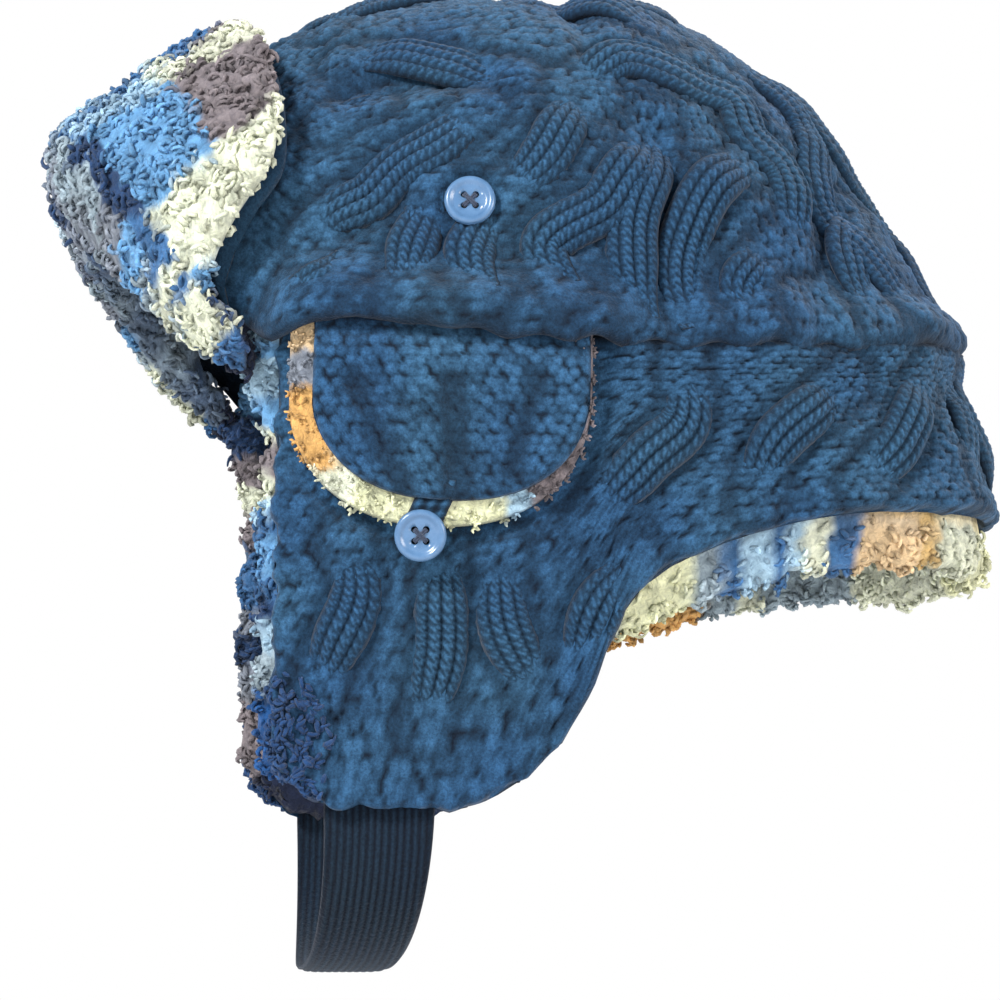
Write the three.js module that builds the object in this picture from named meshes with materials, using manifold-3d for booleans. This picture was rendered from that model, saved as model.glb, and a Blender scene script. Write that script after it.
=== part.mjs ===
// A cable-knit trapper hat with a fleece lining: crown, neck band with two ear flaps, front flap turned up,
// D-shaped ear covers that button down, buttons and a chin strap that runs from flap to flap.
// Millimetres. +Z is up, the wearer faces -Y and the wearer's left is +X. The origin is the middle of the
// head opening, level with the seam between crown and band. The hat is the same on both sides of X = 0.
import * as THREE from "three";
import { mergeVertices } from "three/addons/utils/BufferGeometryUtils.js";
import Module from "manifold-3d";

const wasm = await Module();
wasm.setup();

// Driving dimensions
const KNIT_THICKNESS = 4;
const LINING_THICKNESS = 7.5;
const SOLID_GAP = 0.3;
const RIB_COUNT = 30;
const RIB_HEIGHT = 3.2;
const RIB_WIDTH = 12.5;
const DEEPEST_FOLD = 2.2;
const HEM_ROLL_HEIGHT = 5.5;
const EDGE_REVEAL = 10.5;
const HEM_REVEAL = 16;
const FRONT_FLAP_STANDOFF = 3.8;
const FRONT_FLAP_LINING_THICKNESS = 8;
const COVER_STANDOFF = 0.9;
const COVER_LINING_THICKNESS = 2.6;
const COVER_KNIT_THICKNESS = 3.2;
const BUTTON_DIAMETER = 15.3;
const BUTTON_THICKNESS = 3;
const BUTTON_HOLE_RADIUS = 1;
const BUTTON_HOLE_OFFSET = 1.7;
const THREAD_RADIUS = 0.6;
const STRAP_END_WIDTH = 33;
const STRAP_MIDDLE_WIDTH = 27;
const STRAP_THICKNESS = 3.2;
const STRAP_DROP = 46.5;

// Rings of the outer knit surface from the apex down. Each is an egg-shaped loop through a front and a back
// point of the plane of symmetry, widest at wideY, where it hangs lower by droop. square is 0 for an ellipse
// and 1 for a loop with soft corners.
const RING_COLUMNS = ["name", "frontY", "frontZ", "backY", "backZ", "wideY", "halfWidth", "square", "droop"];
const RINGS = [
  ["apex", -20.5, 110, -20.5, 110, -20.5, 0, 0, 0],
  ["top", -56, 109, 13, 105, -20, 34, 0, 2],
  ["upper", -92, 102, 41, 92, -19, 58, 0, 6],
  ["shoulder", -120, 87, 64, 71, -17, 74, 0, 9],
  ["side", -146, 67, 79, 50, -14, 83, 0, 11],
  ["brow", -169, 47, 94, 26, -11, 88, 0.1, 12],
  ["seam", -167, 4, 109, -3, -9, 89, 0.25, 10],
  ["band", -153, -24, 110.5, -18, -8, 88, 0.4, 8],
  ["nape", -146, -52, 116, -38, -8, 87, 0.5, 4],
  ["hem", -143, -80, 121.5, -66, -8, 84, 0.6, 0],
  ["jaw", -141, -113, 122, -110, -9, 78, 0.7, 0],
  ["chin", -140, -170, 120, -170, -10, 67, 0.7, 0],
].map((row) => Object.fromEntries(RING_COLUMNS.map((column, place) => [column, row[place]])));
const SEAM_RING = RINGS.findIndex((ring) => ring.name === "seam");

// Large soft folds of the crown, as seen from the side. Each is a groove between two points, on both sides.
const FOLDS = [
  { name: "top_crease", fromY: -90, fromZ: 66, toY: -50, toZ: 72, depth: 4.5, width: 6 },
  { name: "front_crease", fromY: -102, fromZ: 16, toY: -70, toZ: 46, depth: 2.5, width: 8 },
  { name: "middle_groove", fromY: 2, fromZ: 52, toY: 7, toZ: -4, depth: 4, width: 6 },
  { name: "back_groove", fromY: 62, fromZ: 36, toY: 50, toZ: -4, depth: 3.5, width: 7 },
  { name: "apex_gather", fromY: -20, fromZ: 109, toY: -16, toZ: 82, depth: 4, width: 5.5 },
];

// Catmull-Rom value of one column of RINGS at a ring number that may lie between two rows.
function ringValue(column, ring) {
  const last = RINGS.length - 1;
  const row = Math.min(Math.max(Math.floor(ring), 0), last - 1);
  const share = ring - row;
  const at = (index) => {
    if (index < 0) return 2 * RINGS[0][column] - RINGS[1][column];
    if (index > last) return 2 * RINGS[last][column] - RINGS[last - 1][column];
    return RINGS[index][column];
  };
  const [a, b, c, d] = [at(row - 1), at(row), at(row + 1), at(row + 2)];
  const slopeStart = (c - a) / 2;
  const slopeEnd = (d - b) / 2;
  const s2 = share * share;
  const s3 = s2 * share;
  const slopes = (s3 - 2 * s2 + share) * slopeStart + (s3 - s2) * slopeEnd;
  return (2 * s3 - 3 * s2 + 1) * b + (3 * s2 - 2 * s3) * c + slopes;
}

const CORNER_FULLNESS = 0.9;
const FIRST_RING = 0.05;

// The base surface. angle is 0 at the back, a quarter turn on the wearer's left and a half turn at the front.
function basePoint(angle, ring) {
  const frontY = ringValue("frontY", ring);
  const backY = ringValue("backY", ring);
  const frontZ = ringValue("frontZ", ring);
  const backZ = ringValue("backZ", ring);
  const wideY = ringValue("wideY", ring);
  const square = ringValue("square", ring);
  const sine = Math.sin(angle);
  const cosine = Math.cos(angle);
  const x = ringValue("halfWidth", ring) * sine * Math.sqrt(1 + square * cosine * cosine * CORNER_FULLNESS);
  const along = cosine * Math.sqrt(1 + square * sine * sine * CORNER_FULLNESS);
  const y = wideY + along * (cosine > 0 ? backY - wideY : wideY - frontY);
  const length = Math.max(backY - frontY, 1e-6);
  const reach = (y > wideY ? backY - wideY : wideY - frontY) || 1;
  const share = Math.abs(y - wideY) / reach;
  const level = frontZ + ((backZ - frontZ) * (y - frontY)) / length;
  const z = level - ringValue("droop", ring) * (1 - share * share);
  return new THREE.Vector3(x, y, z);
}

function baseNormal(angle, ring) {
  const step = 1e-3;
  const at = Math.max(ring, FIRST_RING);
  const around = basePoint(angle + step, at).sub(basePoint(angle - step, at));
  const down = basePoint(angle, at + step).sub(basePoint(angle, at - step));
  return around.cross(down).normalize();
}

function clamp(value, low, high) {
  return Math.min(Math.max(value, low), high);
}

function smoothStep(low, high, value) {
  const share = clamp((value - low) / (high - low), 0, 1);
  return share * share * (3 - 2 * share);
}

// Sideways sway of the ribs, as a share of half the rib spacing: 1 where a pair has merged near the top, and a
// soft wave lower down, which draws the lattice of leaf-shaped gaps between ribs.
const MERGE_RING = 2.6;
const LATTICE_RINGS = 3.4;
const LATTICE_SWAY = 0.62;
function ribSway(ring) {
  const turn = (2 * Math.PI * (ring - MERGE_RING)) / LATTICE_RINGS;
  const wave = clamp(1.5 * Math.cos(turn), -1, 1);
  const merged = 1 - smoothStep(MERGE_RING - 0.9, MERGE_RING + 0.1, ring);
  return merged + (1 - merged) * LATTICE_SWAY * wave;
}

// Height of the ribs above the base surface.
function ribHeight(angle, ring) {
  const spacing = (2 * Math.PI) / RIB_COUNT;
  const radius = basePoint(angle + 1e-3, ring).distanceTo(basePoint(angle - 1e-3, ring)) / 2e-3;
  const sway = (ribSway(ring) * spacing) / 2;
  const turn = ((angle % (2 * Math.PI)) + 2 * Math.PI) % (2 * Math.PI);
  let height = 0;
  for (let rib = -1; rib <= RIB_COUNT; rib++) {
    const centre = (rib + 0.5) * spacing + (Math.abs(rib % 2) === 0 ? sway : -sway);
    const away = (Math.abs(turn - centre) * radius) / (RIB_WIDTH / 2);
    if (away < 1) height = Math.max(height, RIB_HEIGHT * Math.cos((away * Math.PI) / 2) ** 1.2);
  }
  return height * smoothStep(0.3, 1.0, ring);
}

// Depth of the soft folds at a point seen from the side.
function foldDepth(point) {
  let depth = 0;
  for (const fold of FOLDS) {
    const from = new THREE.Vector2(fold.fromY, fold.fromZ);
    const along = new THREE.Vector2(fold.toY, fold.toZ).sub(from);
    const to = new THREE.Vector2(point.y, point.z).sub(from);
    const share = clamp(to.dot(along) / along.lengthSq(), 0, 1);
    const away = to.sub(along.multiplyScalar(share)).length() / fold.width;
    depth += fold.depth * Math.exp(-away * away);
  }
  return depth;
}

// Places on the hat, given by their Y and Z in the side view
const FRONT_EDGE_Y = -108.5;
const BROW_CENTRE = { y: -171, z: 49 };
const COVER = { frontY: -107, backY: -19, straightZ: -26, bottomZ: -67.5 };
const COVER_KNIT = { frontY: -99.5, backY: -20, straightZ: -26, bottomZ: -60 };
const CROWN_BUTTON = { y: -55, z: 29.5 };
const COVER_BUTTON = { y: -69, z: -70 };
const TAB = { topY: -64, halfWidth: 5.4, bottomZ: -76.5, holeRadius: 3.5 };

// The height of the seam in the side view
function seamZ(y) {
  const seam = RINGS[SEAM_RING];
  const level = seam.frontZ + ((seam.backZ - seam.frontZ) * (y - seam.frontY)) / (seam.backY - seam.frontY);
  const reach = y > seam.wideY ? seam.backY - seam.wideY : seam.wideY - seam.frontY;
  const share = Math.abs(y - seam.wideY) / reach;
  return level - seam.droop * Math.max(1 - share * share, 0);
}

// Draws the seam into a side-view outline, from one Y to another, lowered by a gap.
const SEAM_STEPS = 14;
function followSeam(outline, fromY, toY, gap) {
  for (let step = 0; step <= SEAM_STEPS; step++) {
    const y = fromY + ((toY - fromY) * step) / SEAM_STEPS;
    outline.lineTo(y, seamZ(y) - gap);
  }
}

const COVER_MARGIN = 7;
const FLAP_SHADE_Y = -110;

// 1 where something lies flat on the knit, such as an ear cover or a button, so that it presses the ribs flat.
function pressed(point) {
  const coverY = (COVER.frontY + COVER.backY) / 2;
  const reachY = (COVER.backY - COVER.frontY) / 2 + COVER_MARGIN;
  const reachZ = COVER.straightZ - COVER.bottomZ + COVER_MARGIN;
  const lower = Math.min(point.z - COVER.straightZ, 0) / reachZ;
  const cover = Math.hypot((point.y - coverY) / reachY, lower);
  const onBand = point.z < seamZ(point.y) + 0.5 ? 1 - smoothStep(1, 1.12, cover) : 0;
  const button = Math.hypot(point.y - CROWN_BUTTON.y, point.z - CROWN_BUTTON.z) / (BUTTON_DIAMETER / 2);
  const tab = Math.hypot(point.y - COVER_BUTTON.y, point.z - COVER_BUTTON.z) / (BUTTON_DIAMETER / 2);
  const underFlap = smoothStep(FLAP_SHADE_Y, FLAP_SHADE_Y - 8, point.y);
  return Math.max(onBand, underFlap, 1 - smoothStep(1.6, 2.2, button), 1 - smoothStep(1.4, 2, tab));
}

// Outer relief of the knit: ribs, folds, and the crown's hem that rolls over the band. The roll is highest a
// little above the seam, and fades out towards the front edge.
const RING_PITCH = 34;
const ROLL_CENTRE = 5;
const ROLL_REACH = 13;
const ROLL_FADE = 22;
function knitRelief(angle, ring) {
  const point = basePoint(angle, ring);
  const flat = pressed(point);
  const above = (SEAM_RING - ring) * RING_PITCH;
  const rolled = above >= 0 ? Math.exp(-(((above - ROLL_CENTRE) / ROLL_REACH) ** 2)) : 0;
  const sideways = smoothStep(FRONT_EDGE_Y - 2, FRONT_EDGE_Y + ROLL_FADE, point.y);
  const roll = HEM_ROLL_HEIGHT * rolled * sideways;
  const waves = Math.max(ribHeight(angle, ring) - foldDepth(point), -DEEPEST_FOLD);
  return waves * (1 - flat) + roll;
}

function pointAt(angle, ring, lift) {
  return basePoint(angle, ring).addScaledVector(baseNormal(angle, ring), lift);
}

// A closed body below the surface lifted by lift(angle, ring): a pole at the apex, rings, and a flat bottom.
function bodyAt(lift, columns, rings) {
  const positions = [...pointAt(0, FIRST_RING, lift(0, rings[0])).setX(0).toArray()];
  const index = [];
  for (const ring of rings)
    for (let column = 0; column < columns; column++) {
      const angle = (2 * Math.PI * column) / columns;
      positions.push(...pointAt(angle, ring, lift(angle, ring)).toArray());
    }
  const at = (row, column) => 1 + row * columns + ((column + columns) % columns);
  for (let column = 0; column < columns; column++) {
    index.push(0, at(0, column), at(0, column + 1));
    for (let row = 0; row + 1 < rings.length; row++) {
      const [a, b] = [at(row, column), at(row, column + 1)];
      const [c, d] = [at(row + 1, column), at(row + 1, column + 1)];
      index.push(a, c, b, b, c, d);
    }
  }
  const bottom = positions.length / 3;
  positions.push(0, RINGS[RINGS.length - 1].wideY, RINGS[RINGS.length - 1].frontZ);
  const last = rings.length - 1;
  for (let column = 0; column < columns; column++) index.push(bottom, at(last, column + 1), at(last, column));
  return manifoldOf(positions, index);
}

function manifoldOf(positions, index) {
  const solid = new wasm.Manifold(
    new wasm.Mesh({
      numProp: 3,
      vertProperties: new Float32Array(positions),
      triVerts: new Uint32Array(index),
    }),
  );
  if (solid.volume() > 0) return solid;
  for (let i = 0; i < index.length; i += 3) [index[i + 1], index[i + 2]] = [index[i + 2], index[i + 1]];
  return manifoldOf(positions, index);
}

// A three.js geometry, moved by a matrix, as a solid.
function solidOf(geometry, matrix = new THREE.Matrix4()) {
  const bare = new THREE.BufferGeometry();
  const source = geometry.index ? geometry.toNonIndexed() : geometry;
  bare.setAttribute("position", source.getAttribute("position").clone());
  bare.applyMatrix4(matrix);
  const merged = mergeVertices(bare, 1e-4);
  return manifoldOf(Array.from(merged.attributes.position.array), Array.from(merged.index.array));
}

function geometryOf(solid) {
  const mesh = solid.getMesh();
  const geometry = new THREE.BufferGeometry();
  geometry.setAttribute("position", new THREE.BufferAttribute(new Float32Array(mesh.vertProperties), 3));
  geometry.setIndex(new THREE.BufferAttribute(new Uint32Array(mesh.triVerts), 1));
  geometry.computeVertexNormals();
  return geometry;
}

// A side-view outline cut right through the hat, from X = fromX to X = toX.
const ACROSS = 200;
function stencil(shape, fromX = -ACROSS, toX = ACROSS, steps = 6) {
  const extrusion = new THREE.ExtrudeGeometry(shape, {
    depth: toX - fromX,
    bevelEnabled: false,
    curveSegments: steps,
  });
  const sideView = new THREE.Matrix4().makeBasis(
    new THREE.Vector3(0, 1, 0),
    new THREE.Vector3(0, 0, 1),
    new THREE.Vector3(1, 0, 0),
  );
  sideView.setPosition(fromX, 0, 0);
  return solidOf(extrusion, sideView);
}

// The crown's outline: above the seam, and above the line from the ear flap up to the middle of the brow. The
// arch between the ear flaps is moved forwards by shift.
const BACK_Y = 150;
const FAR_Y = 260;
function crownOutline(shift) {
  const outline = new THREE.Shape();
  outline.moveTo(BROW_CENTRE.y - shift, BROW_CENTRE.z - shift * 0.6);
  followSeam(outline, FRONT_EDGE_Y - shift, BACK_Y, 0);
  outline.lineTo(BACK_Y, ACROSS);
  outline.lineTo(-FAR_Y, ACROSS);
  outline.lineTo(-FAR_Y, BROW_CENTRE.z + 42);
  outline.closePath();
  return outline;
}

// The band's outline: neck hem behind, ear flap in front. The two reveals let the lining show past the knit.
const FLAP_BOTTOM_Z = -150.5;
function bandOutline(edgeReveal, hemReveal, topGap = SOLID_GAP) {
  const front = FRONT_EDGE_Y - edgeReveal;
  const flapReveal = Math.min(hemReveal, 0.6);
  const bottom = FLAP_BOTTOM_Z;
  const outline = new THREE.Shape();
  outline.moveTo(front, -120);
  outline.quadraticCurveTo(front + 1, bottom, front + 22 + edgeReveal, bottom);
  outline.lineTo(-64, bottom);
  outline.bezierCurveTo(-37 + flapReveal, bottom, -20.5 + flapReveal, -128, -12.5 + flapReveal, -101);
  outline.quadraticCurveTo(-9, -84 - hemReveal, 15, -74 - hemReveal);
  outline.quadraticCurveTo(48, -60.5 - hemReveal, 84, -59.5 - hemReveal);
  outline.lineTo(BACK_Y, -57 - hemReveal * 1.15);
  followSeam(outline, BACK_Y, front, topGap);
  outline.closePath();
  return outline;
}

// The front flap turned up over the brow: its fold runs from the middle of the brow down to the ear flap.
const FLAP_POINTS = {
  foldCentre: { y: -185, z: 57 },
  topCentre: { y: -124, z: 97 },
  topCorner: { y: -114, z: 73 },
  sideCorner: { y: -112, z: 43 },
  sideFoot: { y: -131, z: -1 },
  foldFoot: { y: -116, z: -27 },
};
function flapOutline() {
  const p = FLAP_POINTS;
  const outline = new THREE.Shape();
  outline.moveTo(p.foldCentre.y, p.foldCentre.z);
  outline.quadraticCurveTo(p.foldCentre.y + 36, p.foldCentre.z - 42, p.foldFoot.y, p.foldFoot.z);
  outline.quadraticCurveTo(p.foldFoot.y + 8, p.foldFoot.z + 12, p.foldFoot.y + 2, p.sideFoot.z - 4);
  outline.quadraticCurveTo(p.sideFoot.y - 2, p.sideFoot.z + 6, p.sideFoot.y + 4, p.sideFoot.z + 16);
  outline.quadraticCurveTo(p.sideCorner.y, p.sideCorner.z - 12, p.sideCorner.y, p.sideCorner.z);
  outline.lineTo(p.topCorner.y, p.topCorner.z);
  outline.quadraticCurveTo(p.topCorner.y, p.topCentre.z - 6, p.topCentre.y, p.topCentre.z);
  outline.lineTo(p.topCentre.y - 30, p.topCentre.z + 14);
  outline.lineTo(p.foldCentre.y - 20, p.foldCentre.z + 20);
  outline.closePath();
  return outline;
}

// A D-shaped outline whose lower end is rounded like a soft square.
const COVER_ROUNDNESS = 2.3;
const COVER_ARC_STEPS = 10;
function coverOutline(cover) {
  const centreY = (cover.frontY + cover.backY) / 2;
  const halfWidth = (cover.backY - cover.frontY) / 2;
  const drop = cover.straightZ - cover.bottomZ;
  const outline = new THREE.Shape();
  outline.moveTo(cover.frontY, cover.straightZ);
  for (let step = 1; step <= COVER_ARC_STEPS; step++) {
    const turn = (Math.PI * step) / COVER_ARC_STEPS;
    const across = -Math.sign(Math.cos(turn)) * Math.abs(Math.cos(turn)) ** (2 / COVER_ROUNDNESS);
    const down = Math.sin(turn) ** (2 / COVER_ROUNDNESS);
    outline.lineTo(centreY + halfWidth * across, cover.straightZ - drop * down);
  }
  followSeam(outline, cover.backY, cover.frontY, SOLID_GAP);
  outline.closePath();
  return outline;
}

// The tab at the foot of an ear cover, which slants forwards to its button.
function tabOutline() {
  const bottomY = COVER_BUTTON.y;
  const topZ = COVER_KNIT.bottomZ + 6;
  const outline = new THREE.Shape();
  outline.moveTo(TAB.topY - TAB.halfWidth, topZ);
  outline.lineTo(bottomY - TAB.halfWidth, TAB.bottomZ + 4);
  outline.quadraticCurveTo(bottomY - TAB.halfWidth, TAB.bottomZ, bottomY, TAB.bottomZ);
  outline.quadraticCurveTo(bottomY + TAB.halfWidth, TAB.bottomZ, bottomY + TAB.halfWidth, TAB.bottomZ + 4);
  outline.lineTo(TAB.topY + TAB.halfWidth, topZ);
  outline.closePath();
  return outline;
}

// Materials
const navy = new THREE.MeshStandardMaterial({ color: 0x2d4868, roughness: 0.95, metalness: 0 });
const navyDark = new THREE.MeshStandardMaterial({ color: 0x23374d, roughness: 0.95, metalness: 0 });
const fleece = new THREE.MeshStandardMaterial({ color: 0x8f9fae, roughness: 1, metalness: 0 });
const cream = new THREE.MeshStandardMaterial({ color: 0xd6d3b4, roughness: 1, metalness: 0 });
const buttonBlue = new THREE.MeshStandardMaterial({ color: 0x5a7fa6, roughness: 0.3, metalness: 0 });

const hat = new THREE.Group();
function addPiece(name, solid, material) {
  const mesh = new THREE.Mesh(geometryOf(solid), material);
  mesh.name = name;
  hat.add(mesh);
}

// Rings at which the walls are sampled. A second one lies just above the seam, so the hem roll ends sharply.
const LAST_RING = RINGS.length - 1;
const RIBBED_RINGS = [0.4];
for (let ring = 1; ring < SEAM_RING - 0.3; ring += 0.6) RIBBED_RINGS.push(ring);
RIBBED_RINGS.push(SEAM_RING - 0.15, SEAM_RING - 0.001, SEAM_RING + 0.001);
for (let ring = SEAM_RING + 0.625; ring <= LAST_RING; ring += 0.625) RIBBED_RINGS.push(ring);
const PLAIN_RINGS = [0.5, 1.3, 2.1, 3, 3.9, 4.7, 5.4];
for (let ring = SEAM_RING; ring <= LAST_RING; ring += 1) PLAIN_RINGS.push(ring);
const RIBBED_COLUMNS = 96;
const PLAIN_COLUMNS = 28;

const plainBody = (lift) => bodyAt(() => lift, PLAIN_COLUMNS, PLAIN_RINGS);
const COVER_RINGS = [5];
for (let ring = SEAM_RING - 0.25; ring < SEAM_RING + 4; ring += 0.75) COVER_RINGS.push(ring);
const coverBody = (lift) => bodyAt(() => lift, PLAIN_COLUMNS * 2, COVER_RINGS);
const ribbedBody = bodyAt(knitRelief, RIBBED_COLUMNS, RIBBED_RINGS);
const knitShell = ribbedBody.subtract(plainBody(-KNIT_THICKNESS));
const liningOuter = plainBody(-KNIT_THICKNESS - SOLID_GAP);
const liningInner = plainBody(-KNIT_THICKNESS - SOLID_GAP - LINING_THICKNESS);
const liningShell = liningOuter.subtract(liningInner);

// Crown and band, knit outside and fleece inside
addPiece("crown_knit", knitShell.intersect(stencil(crownOutline(0))), navy);
addPiece("crown_lining", liningShell.intersect(stencil(crownOutline(0))), fleece);
addPiece("band_knit", knitShell.intersect(stencil(bandOutline(0, 0))), navy);
addPiece("band_lining", liningShell.intersect(stencil(bandOutline(EDGE_REVEAL, HEM_REVEAL))), fleece);

// Front flap: a knit layer, and a fleece face that turns under the brow and closes the crown's edge
const flapStencil = stencil(flapOutline());
const overCrown = stencil(crownOutline(-SOLID_GAP));
const beforeCrown = stencil(crownOutline(SOLID_GAP));
const overBand = stencil(bandOutline(EDGE_REVEAL + SOLID_GAP, 0, -SOLID_GAP));
const flapInner = plainBody(FRONT_FLAP_STANDOFF);
const flapMiddle = plainBody(FRONT_FLAP_STANDOFF + KNIT_THICKNESS);
const flapFaceInner = plainBody(FRONT_FLAP_STANDOFF + KNIT_THICKNESS + SOLID_GAP);
const flapFaceOuter = plainBody(
  FRONT_FLAP_STANDOFF + KNIT_THICKNESS + SOLID_GAP + FRONT_FLAP_LINING_THICKNESS,
);
const flapKnit = flapMiddle.subtract(flapInner).intersect(flapStencil).intersect(overCrown);
const flapFace = flapFaceOuter.subtract(flapFaceInner).intersect(flapStencil);
const flapSolid = flapFaceOuter.subtract(liningInner).intersect(flapStencil);
const flapTurn = flapSolid.subtract(beforeCrown).subtract(overBand);
addPiece("front_flap_knit", flapKnit, navy);
addPiece("front_flap_lining", flapFace.add(flapTurn), fleece);

// Ear covers, one on each side: a fleece layer, and a smaller knit layer on it that ends in a button tab
const coverLining = { inner: COVER_STANDOFF, outer: COVER_STANDOFF + COVER_LINING_THICKNESS };
const coverKnit = { inner: coverLining.outer + SOLID_GAP, outer: 0 };
coverKnit.outer = coverKnit.inner + COVER_KNIT_THICKNESS;
const SIDES = [
  { side: "left", sign: 1 },
  { side: "right", sign: -1 },
];

function onSide(sign, outline) {
  return sign > 0 ? stencil(outline, 0, ACROSS, 5) : stencil(outline, -ACROSS, 0, 5);
}

// A rod along the local Z axis of a seat on the hat's side.
function rod(radius, fromZ, toZ, x, y, sides) {
  const cylinder = new THREE.CylinderGeometry(radius, radius, toZ - fromZ, sides);
  const upright = new THREE.Matrix4().makeRotationX(Math.PI / 2);
  upright.setPosition(x, y, (fromZ + toZ) / 2);
  return solidOf(cylinder, upright);
}

const liningSkin = coverBody(coverLining.outer).subtract(coverBody(coverLining.inner));
const knitSkin = coverBody(coverKnit.outer).subtract(coverBody(coverKnit.inner));
for (const { side, sign } of SIDES) {
  addPiece(`ear_cover_lining_${side}`, liningSkin.intersect(onSide(sign, coverOutline(COVER))), cream);
  const cover = onSide(sign, coverOutline(COVER_KNIT)).add(onSide(sign, tabOutline()));
  const hole = moved(rod(TAB.holeRadius, -1, 2 * coverKnit.outer, 0, 0, 16), seatOn(COVER_BUTTON, sign));
  addPiece(`ear_cover_${side}`, knitSkin.intersect(cover).subtract(hole), navy);
}

// Frame of reference on the hat's side: Z points out of the surface, Y up the side, the origin is on the knit.
function seatOn(place, sign) {
  let low = 0.5;
  let high = LAST_RING;
  let angle = Math.PI / 2;
  for (let pass = 0; pass < 40; pass++) {
    const ring = (low + high) / 2;
    const point = basePoint(angle, ring);
    if (point.z > place.z) low = ring;
    else high = ring;
    angle += (point.y - place.y) * 0.004;
  }
  const ring = (low + high) / 2;
  const normal = baseNormal(angle, ring);
  const origin = basePoint(angle, ring);
  const upward = new THREE.Vector3(0, 0, 1).addScaledVector(normal, -normal.z).normalize();
  const sideways = new THREE.Vector3().crossVectors(upward, normal);
  const seat = new THREE.Matrix4().makeBasis(sideways, upward, normal).setPosition(origin);
  if (sign < 0) seat.premultiply(new THREE.Matrix4().makeScale(-1, 1, 1));
  return seat;
}

function moved(solid, matrix) {
  return solidOf(geometryOf(solid), matrix);
}

// A four-hole button with a raised rim, its back at Z = 0.
const HOLE_CORNERS = [
  [1, 1],
  [-1, 1],
  [-1, -1],
  [1, -1],
];
function buttonSolid() {
  const radius = BUTTON_DIAMETER / 2;
  const dishRadius = radius * 0.62;
  const dishZ = BUTTON_THICKNESS * 0.7;
  const profile = new THREE.Path();
  profile.moveTo(0, 0);
  profile.lineTo(radius * 0.82, 0);
  profile.quadraticCurveTo(radius, BUTTON_THICKNESS * 0.1, radius, BUTTON_THICKNESS * 0.55);
  profile.quadraticCurveTo(radius, BUTTON_THICKNESS, radius * 0.84, BUTTON_THICKNESS);
  profile.quadraticCurveTo(dishRadius + 0.6, BUTTON_THICKNESS, dishRadius, dishZ);
  profile.lineTo(0, dishZ);
  const points = profile.getPoints(2);
  points[0].x = 0;
  points[points.length - 1].x = 0;
  const lathe = new THREE.LatheGeometry(points, 14);
  const upright = new THREE.Matrix4().makeRotationX(Math.PI / 2);
  let button = solidOf(lathe, upright);
  for (const [x, y] of HOLE_CORNERS) {
    const [holeX, holeY] = [x * BUTTON_HOLE_OFFSET, y * BUTTON_HOLE_OFFSET];
    const hole = rod(BUTTON_HOLE_RADIUS, -1, BUTTON_THICKNESS + 1, holeX, holeY, 7);
    button = button.subtract(hole);
  }
  return button;
}

// The sewing thread of a button: a stitch through each hole, from the cloth to a cross on the button's face.
function threadSolid(fromZ) {
  const crossZ = BUTTON_THICKNESS * 0.7 + SOLID_GAP;
  let thread = null;
  for (const [x, y] of HOLE_CORNERS) {
    const stitch = rod(THREAD_RADIUS, fromZ, crossZ + 1, x * BUTTON_HOLE_OFFSET, y * BUTTON_HOLE_OFFSET, 5);
    thread = thread ? thread.add(stitch) : stitch;
  }
  const reach = BUTTON_HOLE_OFFSET * Math.SQRT2 + THREAD_RADIUS;
  for (const turn of [Math.PI / 4, -Math.PI / 4]) {
    const bar = new THREE.BoxGeometry(2 * reach, 1.3, 1.1);
    const place = new THREE.Matrix4().makeRotationZ(turn).setPosition(0, 0, crossZ + 0.55);
    thread = thread.add(solidOf(bar, place));
  }
  return thread;
}

// Buttons on the crown, and on the tab of each ear cover
const BUTTONS = [
  { name: "crown", place: CROWN_BUTTON, standoff: COVER_STANDOFF },
  { name: "cover", place: COVER_BUTTON, standoff: coverKnit.outer + SOLID_GAP },
];
for (const { side, sign } of SIDES)
  for (const { name, place, standoff } of BUTTONS) {
    const seat = seatOn(place, sign).multiply(new THREE.Matrix4().makeTranslation(0, 0, standoff));
    addPiece(`${name}_button_${side}`, moved(buttonSolid(), seat), buttonBlue);
    const stitchStart = SOLID_GAP * 2 - standoff;
    addPiece(`${name}_thread_${side}`, moved(threadSolid(stitchStart), seat), navyDark);
  }

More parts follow.
